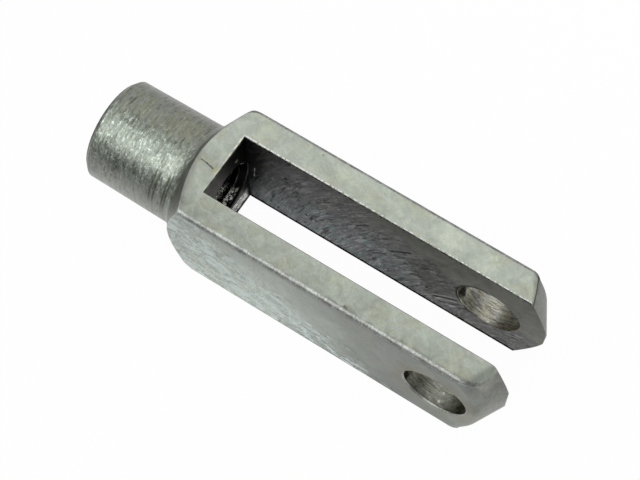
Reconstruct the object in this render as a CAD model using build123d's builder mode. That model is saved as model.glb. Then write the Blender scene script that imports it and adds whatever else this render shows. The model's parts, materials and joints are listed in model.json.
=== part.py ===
from build123d import *
import os
from math import hypot, radians, tan

# Clevis rod end, long pattern, for a 12 mm pin and an M12 rod. Millimetres.
# The rod axis is X with the fork pointing to +X, the pin axis is Y, and the
# slot runs through along Z. The origin is where the pin axis crosses the rod axis.

# Square bar
bar_width = 24.0
bar_edge_radius = 0.6

# Fork
slot_width = 12.5
pin_to_slot_floor = 50.3
pin_to_tip = 11.0
pin_hole_diameter = 12.4
pin_hole_edge_break = 0.2

# Cone turned on the ends of the two arms
tip_flat_diameter = 14.2
tip_cone_angle = 30.0  # from the end plane, in degrees
tip_edge_radius = 0.6  # where the cone ends at the bar's flats

# The +Y arm's tip was dressed a second time, on an axis above the rod axis,
# so its lower half is cut back further
dressed_tip_rise = 2.2

# Turned neck, a little thicker at its root
neck_diameter = 19.7  # at its end
neck_taper = 0.4  # by how much its root is thicker
neck_end_to_slot_floor = 24.7
neck_end_chamfer = 0.9
neck_root_radius = 2.2

# Cone turned on the shoulder. It ends in a rounded corner, past which the bar's
# long edges stay skimmed until the tool runs out.
shoulder_to_slot_floor = 6.2
shoulder_cone_angle = 33.0  # from the end plane, in degrees
shoulder_skim = 0.57  # off the corners of the square, in depth
shoulder_corner_radius = 2.6
shoulder_run_out = 4.6

# Tapped bore
tap_drill_diameter = 10.2
bore_mouth_diameter = 13.0  # of the countersink at each end
bore_mouth_run_out = 1.4  # how far its cutter ran on into the slot, grazing the arms

# Places along the rod axis
tip_x = pin_to_tip
slot_floor_x = -pin_to_slot_floor
neck_end_x = slot_floor_x - neck_end_to_slot_floor
cone_start_x = slot_floor_x - shoulder_to_slot_floor

# Distances from the rod axis
corner_reach = hypot(bar_width, bar_width) / 2
neck_end_reach = neck_diameter / 2
neck_root_reach = neck_end_reach + neck_taper / 2
shoulder_reach = corner_reach - shoulder_skim
tip_flat_radius = tip_flat_diameter / 2
tap_drill_radius = tap_drill_diameter / 2
bore_mouth_radius = bore_mouth_diameter / 2

fork_depth = tip_x - slot_floor_x
bore_mouth_depth = bore_mouth_radius - tap_drill_radius
shoulder_depth = (shoulder_reach - neck_root_reach) * tan(radians(shoulder_cone_angle))
shoulder_x = cone_start_x + shoulder_depth


def tip_cone_depth(reach):
    """How far the tip cone has run back where it is this far from its axis."""
    return (reach - tip_flat_radius) * tan(radians(tip_cone_angle))


def is_turned_edge(edge):
    """Whether a turned face ends here at the bar's flats or rounded long edges."""
    on_skin = any(face.distance_to(edge @ 0.5) < 1e-4 for face in bar_skin)
    return on_skin and edge.geom_type != GeomType.LINE


# What the second dressing takes off the +Y arm's tip: the arm's end block, less
# the same cone on its raised axis
dressed_reach = corner_reach + dressed_tip_rise
dressed_depth = tip_cone_depth(dressed_reach)

with BuildPart() as dressing_waste:
    with BuildSketch(Plane.YZ.offset(tip_x - dressed_depth)) as arm_end:
        Rectangle(bar_width / 2, bar_width, align=(Align.MIN, Align.CENTER))
    extrude(amount=dressed_depth)
    with BuildSketch(Plane.XZ) as raised_cone_outline:
        with BuildLine():
            Polyline(
                (tip_x - dressed_depth, dressed_tip_rise),
                (tip_x - dressed_depth, dressed_tip_rise + dressed_reach),
                (tip_x, dressed_tip_rise + tip_flat_radius),
                (tip_x, dressed_tip_rise),
                (tip_x - dressed_depth, dressed_tip_rise),
            )
        make_face()
    raised_axis = Axis((0, 0, dressed_tip_rise), (1, 0, 0))
    revolve(axis=raised_axis, mode=Mode.SUBTRACT)

with BuildPart() as clevis_body:
    # The square bar, with its rounded long edges
    with BuildSketch(Plane.YZ.offset(neck_end_x)) as bar_section:
        Rectangle(bar_width, bar_width)
        fillet(bar_section.vertices(), radius=bar_edge_radius)
    extrude(amount=tip_x - neck_end_x)
    bar_skin = clevis_body.faces().filter_by(Axis.X, reverse=True)

    # Everything the lathe leaves: neck, shoulder cone and tip cone. The flats
    # of the bar survive only inside this outline.
    with BuildSketch(Plane.XZ) as turned_outline:
        with BuildLine():
            Polyline(
                (neck_end_x, 0),
                (neck_end_x, neck_end_reach - neck_end_chamfer),
                (neck_end_x + neck_end_chamfer, neck_end_reach),
                (cone_start_x, neck_root_reach),
                (shoulder_x, shoulder_reach),
                (shoulder_x + shoulder_run_out, corner_reach),
                (tip_x - tip_cone_depth(corner_reach), corner_reach),
                (tip_x, tip_flat_radius),
                (tip_x, 0),
                (neck_end_x, 0),
            )
        make_face()
        neck_root = turned_outline.vertices().sort_by_distance((cone_start_x, neck_root_reach))[0]
        fillet(neck_root, radius=neck_root_radius)
        shoulder_corner = turned_outline.vertices().sort_by_distance((shoulder_x, shoulder_reach))[0]
        fillet(shoulder_corner, radius=shoulder_corner_radius)
    revolve(axis=Axis.X, mode=Mode.INTERSECT)

    # The slot, open at the tips and through from top to bottom
    with BuildSketch(Plane.XY) as slot_outline:
        with Locations((slot_floor_x, 0)):
            Rectangle(fork_depth, slot_width, align=(Align.MIN, Align.CENTER))
    extrude(amount=bar_width / 2, both=True, mode=Mode.SUBTRACT)

    add(dressing_waste.part, mode=Mode.SUBTRACT)

    tip_edges = clevis_body.edges().filter_by(is_turned_edge)
    tip_edges = tip_edges.filter_by(lambda edge: edge.center().X > 0)
    fillet(tip_edges, radius=tip_edge_radius)

    # The pin hole through both arms, its outer rims broken
    with Locations(Plane.XZ):
        Hole(radius=pin_hole_diameter / 2)
    cheeks = clevis_body.faces().filter_by(Axis.Y).sort_by(Axis.Y)
    outer_rims = cheeks[0].inner_wires().edges() + cheeks[-1].inner_wires().edges()
    chamfer(outer_rims, length=pin_hole_edge_break)

    # The tapped bore from the neck's end to the slot floor, countersunk both
    # ends, and the shallow groove its cutter left in the root of each arm
    with BuildSketch(Plane.XZ) as bore_outline:
        with BuildLine():
            Polyline(
                (neck_end_x, 0),
                (neck_end_x, bore_mouth_radius),
                (neck_end_x + bore_mouth_depth, tap_drill_radius),
                (slot_floor_x - bore_mouth_depth, tap_drill_radius),
                (slot_floor_x, bore_mouth_radius),
                (slot_floor_x + bore_mouth_run_out, bore_mouth_radius),
                (slot_floor_x + bore_mouth_run_out, 0),
                (neck_end_x, 0),
            )
        make_face()
    revolve(axis=Axis.X, mode=Mode.SUBTRACT)

clevis_body.part.label = "clevis_body"

os.makedirs("parts", exist_ok=True)
export_step(clevis_body.part, "parts/clevis_body.step")
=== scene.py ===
"""Looks of a clevis rod end: a fork head turned, milled, drilled and tapped from square steel bar.

Lengths are in millimetres, and the mesh goes to metres last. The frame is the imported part's own: the rod
axis is X with the fork towards +X, the pin axis is Y, and Z is up, the way the slot runs through. The near
arm is the one at -Y.
"""

import json
import logging
import math
from dataclasses import dataclass, field
from enum import Enum
from typing import Any, Callable, Mapping, NamedTuple, Sequence

import bmesh
import bpy
import numpy as np
from mathutils import Matrix, Vector

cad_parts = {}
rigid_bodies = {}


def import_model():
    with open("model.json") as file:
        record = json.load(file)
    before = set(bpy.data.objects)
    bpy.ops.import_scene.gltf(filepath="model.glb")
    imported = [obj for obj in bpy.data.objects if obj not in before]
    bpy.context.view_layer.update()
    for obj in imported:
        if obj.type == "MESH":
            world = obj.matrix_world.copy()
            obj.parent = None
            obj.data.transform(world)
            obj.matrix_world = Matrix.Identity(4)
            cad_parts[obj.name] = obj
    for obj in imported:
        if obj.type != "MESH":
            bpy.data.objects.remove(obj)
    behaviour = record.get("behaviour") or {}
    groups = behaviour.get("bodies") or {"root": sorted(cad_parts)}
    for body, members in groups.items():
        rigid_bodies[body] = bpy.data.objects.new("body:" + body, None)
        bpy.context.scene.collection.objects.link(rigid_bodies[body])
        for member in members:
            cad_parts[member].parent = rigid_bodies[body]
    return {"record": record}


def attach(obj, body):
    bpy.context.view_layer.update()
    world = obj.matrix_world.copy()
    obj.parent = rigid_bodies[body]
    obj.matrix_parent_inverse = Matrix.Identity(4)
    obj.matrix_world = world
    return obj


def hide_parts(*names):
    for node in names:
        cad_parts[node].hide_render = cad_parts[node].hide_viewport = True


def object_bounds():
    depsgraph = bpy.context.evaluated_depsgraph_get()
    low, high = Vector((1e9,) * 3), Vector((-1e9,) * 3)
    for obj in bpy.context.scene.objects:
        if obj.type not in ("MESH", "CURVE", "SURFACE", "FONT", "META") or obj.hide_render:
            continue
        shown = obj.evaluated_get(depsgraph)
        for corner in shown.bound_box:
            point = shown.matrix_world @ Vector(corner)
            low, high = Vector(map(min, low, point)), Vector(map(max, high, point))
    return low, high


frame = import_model()
cad_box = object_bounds()

log = logging.getLogger("clevis_rod_end")

MM = 0.001  # metres in a millimetre
TAU = 2 * math.pi
TINY = 1e-9

Socket = bpy.types.NodeSocket
Point = tuple[float, float, float]
Colour = tuple[float, float, float]
Span = tuple[float, float]  # where something begins and where it is at its full


# ---------------------------------------------------------------------------------------------
# Shader maths
# ---------------------------------------------------------------------------------------------


class Value:
    """A number that varies over a surface: a shader socket that takes part in arithmetic."""

    def __init__(self, desk: "NodeDesk", socket: Socket) -> None:
        """Takes a socket into arithmetic.

        Args:
            desk: the node tree that the socket belongs to.
            socket: the output socket that carries the number.
        """
        self.desk = desk
        self.socket = socket

    def __add__(self, other: "Number") -> "Value":
        """This plus other."""
        return self.desk.math("ADD", self, other)

    __radd__ = __add__

    def __sub__(self, other: "Number") -> "Value":
        """This less other."""
        return self.desk.math("SUBTRACT", self, other)

    def __rsub__(self, other: "Number") -> "Value":
        """Other less this."""
        return self.desk.math("SUBTRACT", other, self)

    def __mul__(self, other: "Number") -> "Value":
        """This times other."""
        return self.desk.math("MULTIPLY", self, other)

    __rmul__ = __mul__

    def __truediv__(self, other: "Number") -> "Value":
        """This over other."""
        return self.desk.math("DIVIDE", self, other)

    def __rtruediv__(self, other: "Number") -> "Value":
        """Other over this."""
        return self.desk.math("DIVIDE", other, self)

    def __pow__(self, other: "Number") -> "Value":
        """This to the power of other."""
        return self.desk.math("POWER", self, other)

    def __neg__(self) -> "Value":
        """This with its sign changed."""
        return self.desk.math("MULTIPLY", self, -1.0)

    def __abs__(self) -> "Value":
        """This without its sign."""
        return self.desk.math("ABSOLUTE", self)

    def at_least(self, floor: "Number") -> "Value":
        """This, or floor where floor is more."""
        return self.desk.math("MAXIMUM", self, floor)

    def at_most(self, ceiling: "Number") -> "Value":
        """This, or ceiling where ceiling is less."""
        return self.desk.math("MINIMUM", self, ceiling)

    def sway(self, amount: "Number") -> "Value":
        """This noise, which swings about a half, made to swing about 0 and multiplied by amount."""
        return (self - 0.5) * amount

    def ramp(self, start: float, end: float) -> "Value":
        """A smooth step of this value.

        Args:
            start: where the step is 0.
            end: where the step is 1; it may be below start.

        Returns:
            A value from 0 to 1.
        """
        low, high = sorted((start, end))
        at_low, at_high = (0.0, 1.0) if start < end else (1.0, 0.0)
        inputs = {"Value": self, "From Min": low, "From Max": high, "To Min": at_low, "To Max": at_high}
        return self.desk.value("ShaderNodeMapRange", {"interpolation_type": "SMOOTHSTEP"}, inputs, "Result")


Number = Value | float
Axes = tuple[Value, Value, Value]


class Axis(Enum):
    """The part's axes that a noise is leant about."""

    Y = "Y_AXIS"
    Z = "Z_AXIS"


@dataclass(frozen=True)
class Grain:
    """What a noise looks like."""

    fineness: Point  # features in a millimetre along X, Y and Z; unequal ones draw the noise out
    detail: float = 3.0  # how many finer layers are added
    harshness: float = 0.6  # how strong each finer layer is beside the last
    swirl: float = 0.0  # how far the noise is bent by itself


@dataclass(frozen=True)
class Hairlines:
    """Thin lines that follow a noise where it passes through a level, broken up by a second noise."""

    level: float
    width: float  # how far from the level they reach
    shown: Span  # levels of the second noise
    strength: float = 1.0
    core: float = 0.3  # of the width, where they are at their full

    def over(self, noise: Value, breaks: Value) -> Value:
        """How strong the lines are at each place.

        Args:
            noise: the noise; where it is drawn out, so are the lines.
            breaks: the second noise.

        Returns:
            The strength on a line and 0 off it.
        """
        line = abs(noise - self.level).ramp(self.width, self.width * self.core)
        return line * breaks.ramp(*self.shown) * self.strength


def even(fineness: float) -> Point:
    """The same fineness along X, Y and Z."""
    return (fineness, fineness, fineness)


class NodeDesk:
    """A material's or the world's node tree, with short ways to add nodes to it."""

    def __init__(self, tree: bpy.types.NodeTree) -> None:
        """Takes over a node tree.

        Args:
            tree: the node tree to fill; what it holds already is cleared.
        """
        self.tree = tree
        tree.nodes.clear()

    def node(
        self, kind: str, settings: Mapping[str, Any] | None = None, inputs: Mapping[Any, Any] | None = None
    ) -> bpy.types.Node:
        """Adds one node.

        Args:
            kind: the node's type.
            settings: properties of the node, set before its sockets.
            inputs: input sockets by name or number, each a number, a colour, a value or a link.

        Returns:
            The new node.
        """
        made = self.tree.nodes.new(kind)
        for name, setting in (settings or {}).items():
            setattr(made, name, setting)
        for key, given in (inputs or {}).items():
            socket = made.inputs[key]
            source = given.socket if isinstance(given, Value) else given
            if isinstance(source, Socket):
                self.tree.links.new(source, socket)
            elif socket.type == "RGBA":
                socket.default_value = (*source, 1.0)
            else:
                socket.default_value = source
        return made

    def link(
        self, kind: str, settings: Mapping[str, Any] | None, inputs: Mapping[Any, Any], output: str | int = 0
    ) -> Socket:
        """Adds one node and returns one of its outputs.

        Args:
            kind: the node's type.
            settings: as for node.
            inputs: as for node.
            output: the output's name or number.

        Returns:
            The output, a vector's or a colour's as a rule.
        """
        return self.node(kind, settings, inputs).outputs[output]

    def value(
        self, kind: str, settings: Mapping[str, Any] | None, inputs: Mapping[Any, Any], output: str | int = 0
    ) -> Value:
        """Adds one node and returns one of its outputs as a value.

        Args:
            kind: the node's type.
            settings: as for node.
            inputs: as for node.
            output: the output's name or number.

        Returns:
            The output, ready for arithmetic.
        """
        return Value(self, self.link(kind, settings, inputs, output))

    def math(self, operation: str, *terms: Number) -> Value:
        """One Math node on one or two terms."""
        return self.value("ShaderNodeMath", {"operation": operation}, dict(enumerate(terms)))

    def vector_math(self, operation: str, first: Any, second: Any) -> Socket:
        """One Vector Math node on two vectors."""
        return self.link("ShaderNodeVectorMath", {"operation": operation}, {0: first, 1: second})

    def scaled(self, vector: Any, scale: Number) -> Socket:
        """A vector or a colour times a number."""
        return self.link("ShaderNodeVectorMath", {"operation": "SCALE"}, {0: vector, "Scale": scale})

    def distance(self, first: Any, second: Any) -> Value:
        """How far two points are apart."""
        points = {0: first, 1: second}
        return self.value("ShaderNodeVectorMath", {"operation": "DISTANCE"}, points, "Value")

    def dot(self, first: Any, second: Any) -> Value:
        """The dot product of two vectors."""
        vectors = {0: first, 1: second}
        return self.value("ShaderNodeVectorMath", {"operation": "DOT_PRODUCT"}, vectors, "Value")

    def leant(self, place: Socket, axis: Axis, degrees: float) -> Socket:
        """Coordinates turned about an axis, so that drawn-out noise runs at a slant."""
        turn = {"Vector": place, "Angle": math.radians(degrees)}
        return self.link("ShaderNodeVectorRotate", {"rotation_type": axis.value}, turn)

    def place(self) -> Socket:
        """The point on the surface, in millimetres in the part's frame."""
        spot = self.node("ShaderNodeTexCoord").outputs["Object"]
        return self.vector_math("MULTIPLY", spot, (1 / MM, 1 / MM, 1 / MM))

    def axes(self, vector: Socket) -> Axes:
        """The three parts of a vector."""
        split = self.node("ShaderNodeSeparateXYZ", None, {0: vector})
        return tuple(Value(self, socket) for socket in split.outputs)

    def ray(self, kind: str) -> Value:
        """1 for one kind of ray, such as Camera, and 0 for the others."""
        return self.value("ShaderNodeLightPath", None, {}, f"Is {kind} Ray")

    def joined(self, x: Number, y: Number, z: Number) -> Socket:
        """A vector made of three values."""
        return self.link("ShaderNodeCombineXYZ", None, {0: x, 1: y, 2: z})

    def noise(self, place: Socket, grain: Grain) -> Value:
        """Smooth noise about a half.

        Args:
            place: where the surface point is.
            grain: what the noise looks like.

        Returns:
            The noise as a value.
        """
        inputs = {
            "Vector": self.vector_math("MULTIPLY", place, grain.fineness),
            "Scale": 1.0,
            "Detail": grain.detail,
            "Roughness": grain.harshness,
            "Distortion": grain.swirl,
        }
        return self.value("ShaderNodeTexNoise", None, inputs, "Fac")

    def specks(self, place: Socket, spacing: float, radius: float) -> Value:
        """Round dots scattered over the surface.

        Args:
            place: where the surface point is.
            spacing: millimetres between neighbours, more or less.
            radius: a dot's radius in millimetres.

        Returns:
            1 inside a dot and 0 outside.
        """
        core = 0.4
        inputs = {"Vector": place, "Scale": 1 / spacing, "Randomness": 1.0}
        distance = self.value("ShaderNodeTexVoronoi", {"feature": "F1"}, inputs, "Distance")
        return (distance * spacing).ramp(radius, radius * core)

    def mixed(self, share: Number, first: Any, second: Any) -> Socket:
        """The colour that is first where share is 0 and second where it is 1."""
        return self._blended("MIX", share, first, second)

    def tinted(self, share: Number, base: Any, tint: Any) -> Socket:
        """Base multiplied by tint as far as share says."""
        return self._blended("MULTIPLY", share, base, tint)

    def _blended(self, way: str, share: Number, base: Any, over: Any) -> Socket:
        """One Mix node on two colours, whose colour sockets are known by number alone."""
        settings = {"data_type": "RGBA", "blend_type": way}
        return self.link("ShaderNodeMix", settings, {0: share, 6: base, 7: over}, 2)

    def bump(self, height: Value, depth: float) -> Socket:
        """A normal that follows a height.

        Args:
            height: the height, 1 at the top.
            depth: how many millimetres 1 stands for.

        Returns:
            The normal.
        """
        return self.link("ShaderNodeBump", None, {"Height": height, "Distance": depth * MM, "Strength": 1.0})


# ---------------------------------------------------------------------------------------------
# Marks and zones
# ---------------------------------------------------------------------------------------------

DARK = (0.0, 0.0, 0.0)


class Mark:
    """A single mark on a surface."""

    def over(self, desk: NodeDesk, place: Socket, colour: Socket) -> Socket:
        """The colour with the mark over it.

        Args:
            desk: the material's node tree.
            place: the surface point, in millimetres.
            colour: the colour under the mark.

        Returns:
            The new colour.
        """
        raise NotImplementedError


@dataclass(frozen=True)
class Smudge(Mark):
    """A soft-edged patch. Lengths in millimetres."""

    centre: Point
    radius: float
    strength: float
    tint: Colour
    raggedness: float = 2.0  # of its outline, in radii
    features: float = 1.4  # of the ragged outline in a radius
    core: float = 0.4  # of its radius, where it is at its full

    def over(self, desk: NodeDesk, place: Socket, colour: Socket) -> Socket:
        """The colour with the patch over it.

        Args:
            desk: the material's node tree.
            place: the surface point, in millimetres.
            colour: the colour under the patch.

        Returns:
            The new colour.
        """
        ragged = desk.noise(place, Grain(even(self.features / self.radius)))
        distance = desk.distance(place, self.centre) + ragged.sway(self.raggedness * self.radius)
        inside = distance.ramp(self.radius, self.radius * self.core)
        return desk.tinted(inside * self.strength, colour, self.tint)


@dataclass(frozen=True)
class Scratch(Mark):
    """A thin straight mark between two points. Lengths in millimetres."""

    start: Point
    end: Point
    width: float
    strength: float
    tint: Colour
    fray: Grain = Grain(even(1.6), 2.0, 0.5)
    reach: Span = (0.75, 0.3)  # from its middle line, in widths: where it has ended and where it is full

    def over(self, desk: NodeDesk, place: Socket, colour: Socket) -> Socket:
        """The colour with the scratch over it.

        Args:
            desk: the material's node tree.
            place: the surface point, in millimetres.
            colour: the colour under the scratch.

        Returns:
            The new colour.
        """
        along = Vector(self.end) - Vector(self.start)
        share = desk.dot(desk.vector_math("SUBTRACT", place, self.start), tuple(along / along.length_squared))
        offset = desk.scaled(tuple(along), share.at_least(0.0).at_most(1.0))
        nearest = desk.vector_math("ADD", offset, self.start)
        distance = desk.distance(place, nearest) + desk.noise(place, self.fray).sway(self.width)
        outer, inner = self.reach
        inside = distance.ramp(self.width * outer, self.width * inner)
        return desk.tinted(inside * self.strength, colour, self.tint)


@dataclass(frozen=True)
class Zone:
    """A stretch of a surface, with soft borders across the axes that have a span. Lengths in millimetres."""

    x: Span | None = None
    y: Span | None = None
    z: Span | None = None
    x_end: Span | None = None  # where it has ended, and up to where it is still at its full
    y_end: Span | None = None
    lift: float = 1.0  # what it adds to the surface's brightness, or to whatever else it is for

    def share(self, axes: Axes) -> Value:
        """How far each place lies in the zone.

        Args:
            axes: the surface point's three parts.

        Returns:
            1 in the zone and 0 outside.
        """
        x, y, z = axes
        spans = ((x, self.x), (x, self.x_end), (y, self.y), (y, self.y_end), (z, self.z))
        return math.prod(axis.ramp(*span) for axis, span in spans if span)

    def added(self, axes: Axes) -> Value:
        """What the zone adds at each place."""
        return self.share(axes) * self.lift

    def kept(self, axes: Axes) -> Value:
        """1 in the zone, and less than 1 by its lift outside."""
        return self.added(axes) + (1.0 - self.lift)


def lifted(zones: Sequence[Zone], axes: Axes) -> Value:
    """How much paler or darker all the zones together make each place."""
    return sum(zone.added(axes) for zone in zones)


# ---------------------------------------------------------------------------------------------
# Finishes
# ---------------------------------------------------------------------------------------------


class Skin(NamedTuple):
    """What varies over a surface."""

    colour: Socket
    roughness: Value
    normal: Socket


@dataclass(frozen=True)
class Finish:
    """What every bare steel finish shares; each kind adds how its tool left the surface."""

    name: str
    colour: Colour
    roughness: float
    grazing: float = 1.0  # how much of the light it mirrors at a grazing angle
    marks: tuple[Mark, ...] = ()

    def material(self) -> bpy.types.Material:
        """Builds the finish.

        Returns:
            The material, which the layers' colour, roughness and normal feed.
        """
        made = bpy.data.materials.new(self.name)
        made.use_nodes = True
        made.diffuse_color = (*self.colour, 1.0)
        made.metallic = 1.0
        desk = NodeDesk(made.node_tree)
        skin = self.layers(desk, desk.place())
        inputs = {
            "Base Color": skin.colour,
            "Metallic": 1.0,
            "Roughness": skin.roughness,
            "Specular Tint": (self.grazing,) * 3,
            "Normal": skin.normal,
        }
        shader = desk.link("ShaderNodeBsdfPrincipled", None, inputs)
        desk.node("ShaderNodeOutputMaterial", None, {"Surface": shader})
        return made

    def layers(self, desk: NodeDesk, place: Socket) -> Skin:
        """The finish's colour, roughness and normal.

        Args:
            desk: the material's node tree.
            place: the surface point, in millimetres.

        Returns:
            What varies over the surface.
        """
        raise NotImplementedError

    def marked(self, desk: NodeDesk, place: Socket, colour: Socket) -> Socket:
        """The colour with the finish's single marks over it.

        Args:
            desk: the material's node tree.
            place: the surface point, in millimetres.
            colour: the colour under the marks.

        Returns:
            The new colour.
        """
        for mark in self.marks:
            colour = mark.over(desk, place, colour)
        return colour


@dataclass(frozen=True)
class PaleFlat(Finish):
    """The flats above and below: pale and faintly cloudy, scored at a slant, with a few dark specks."""

    clouds: Grain = Grain(even(0.2), harshness=0.5)
    mottle: Grain = Grain(even(0.45), 4.0, swirl=0.8)
    grit: Grain = Grain(even(2.4), 2.0, 0.65)
    strokes: Grain = Grain((0.9, 2.4, 1.0), 2.0)
    stroke_lean: float = 38.0  # degrees
    dark_lines: Hairlines = Hairlines(0.44, 0.008, (0.48, 0.58), 0.14)
    pale_lines: Hairlines = Hairlines(0.58, 0.01, (0.45, 0.55), 0.1)
    relief: float = 0.012

    brightness: float = 0.8
    zones: tuple[Zone, ...] = (
        Zone(y=(-12.0, -4.0), lift=0.2),
        Zone(y=(5.0, 8.5), lift=0.055),
        Zone(x=(-42.0, -56.0), y=(-3.0, -8.0), lift=-0.1),
        Zone(x=(-16.0, -8.0), y=(-7.0, -9.0), lift=0.06),
    )

    stains: Grain = Grain((0.2, 0.3, 0.25))
    warm: Colour = (0.995, 0.99, 0.925)
    cool: Colour = (0.985, 1.0, 0.985)
    speck_spacing: float = 4.2
    speck_radius: float = 0.17
    soil: Colour = (0.45, 0.43, 0.36)

    # the cutter's broken burr along the slot's far side, and thinner across the slot's end, painted as a
    # bright highlight line
    fray: Grain = Grain((1.6, 0.6, 1.0), harshness=0.7)
    side_y: float = 6.4
    side_stretch: Zone = Zone(x=(-50.9, -50.2))
    side_thicker: Zone = Zone(x=(-51.0, -50.0), x_end=(-16.0, -32.0), lift=0.05)
    side_burr_highlight: Colour = (1.0, 1.0, 0.98)
    end_x: float = -50.5
    end_stretch: Zone = Zone(y=(-3.5, -2.0), y_end=(6.4, 5.6))
    end_brighter: Zone = Zone(y=(0.6, 1.6), lift=0.6)
    end_burr_highlight: Colour = (1.0, 1.0, 0.86)

    # painted shade at the shoulder's arc at the rear, and along the near long edge
    arc_x: float = -63.0  # where the shoulder's cone would come to a point
    arc_slope: float = 0.649  # the cone's, along the rod for each millimetre away from it
    arc_width: Span = (1.3, 0.1)
    arc_stretch: Zone = Zone(y=(3.0, -1.0), lift=0.5)
    arc_shade: Colour = (0.5, 0.47, 0.55)
    near_edge: Span = (-10.7, -11.3)
    near_shade: float = 0.03
    near_shade_rise: Zone = Zone(x=(-28.0, -20.0), lift=0.3)

    def layers(self, desk: NodeDesk, place: Socket) -> Skin:
        """Clouds, mottle, grit and slanting strokes, then stains, specks, the burr as a painted highlight,
        and painted shade at the edges.

        Args:
            desk: the material's node tree.
            place: the surface point, in millimetres.

        Returns:
            What varies over the surface.
        """
        axes = desk.axes(place)
        clouds = desk.noise(place, self.clouds)
        mottle = desk.noise(place, self.mottle)
        grit = desk.noise(place, self.grit)
        strokes = desk.noise(desk.leant(place, Axis.Z, self.stroke_lean), self.strokes)
        level = self.brightness + lifted(self.zones, axes) + clouds.sway(0.3) + mottle.sway(0.7)
        level = level + grit.sway(0.22) + strokes.sway(0.22)
        level = level + self.pale_lines.over(mottle, grit) - self.dark_lines.over(mottle, grit)
        stains = desk.noise(place, self.stains)
        colour = desk.tinted(stains.ramp(0.46, 0.62), desk.scaled(self.colour, level), self.warm)
        colour = desk.tinted(stains.ramp(0.5, 0.38), colour, self.cool)
        specks = desk.specks(place, self.speck_spacing, self.speck_radius)
        colour = desk.tinted(specks * 0.55, colour, self.soil)
        colour = self.burr_highlights(desk, place, axes, self.marked(desk, place, colour))
        colour = self.edged(desk, axes, mottle, colour)
        roughness = self.roughness + mottle.sway(0.15) + clouds.sway(0.1)
        normal = desk.bump((grit + strokes + mottle) * 0.4 - specks, self.relief)
        return Skin(colour, roughness, normal)

    def burr_highlights(self, desk: NodeDesk, place: Socket, axes: Axes, colour: Socket) -> Socket:
        """The colour with the cutter's burr over it, painted as a bright highlight.

        Args:
            desk: the material's node tree.
            place: the surface point.
            axes: its three parts.
            colour: the colour under the burr.

        Returns:
            The colour with a broken line of painted highlight and soil-dark notches along the slot's side and
            end.
        """
        x, y, _ = axes
        ragged = desk.noise(place, self.fray)
        off_side = abs(y - self.side_y) + ragged.sway(0.7)
        off_end = abs(x - self.end_x) + ragged.sway(0.7)
        notches = off_side.ramp(0.26, 0.1) * ragged.ramp(0.44, 0.4)
        colour = desk.mixed(notches * 0.8, colour, self.soil)
        thick = (ragged + self.side_thicker.added(axes)).ramp(0.5, 0.55)
        side = off_side.ramp(0.42, 0.16) * thick * self.side_stretch.share(axes)
        colour = desk.mixed(side, colour, self.side_burr_highlight)
        end = off_end.ramp(0.36, 0.14) * ragged.ramp(0.44, 0.5) * self.end_stretch.share(axes)
        return desk.mixed(end * self.end_brighter.kept(axes), colour, self.end_burr_highlight)

    def edged(self, desk: NodeDesk, axes: Axes, mottle: Value, colour: Socket) -> Socket:
        """The colour, with painted shade at the shoulder's arc and along the near edge.

        Args:
            desk: the material's node tree.
            axes: the surface point's three parts.
            mottle: a noise that makes the strip of painted shade uneven.
            colour: the colour under them.

        Returns:
            The colour with both edges over it.
        """
        x, y, z = axes
        past_arc = x - (y * y + z * z) ** 0.5 * self.arc_slope - self.arc_x
        shade = past_arc.ramp(*self.arc_width) * self.arc_stretch.added(axes)
        colour = desk.tinted(shade, colour, self.arc_shade)
        strength = self.near_shade_rise.added(axes) + self.near_shade
        return desk.tinted((y + mottle.sway(1.6)).ramp(*self.near_edge) * strength, colour, DARK)


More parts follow.
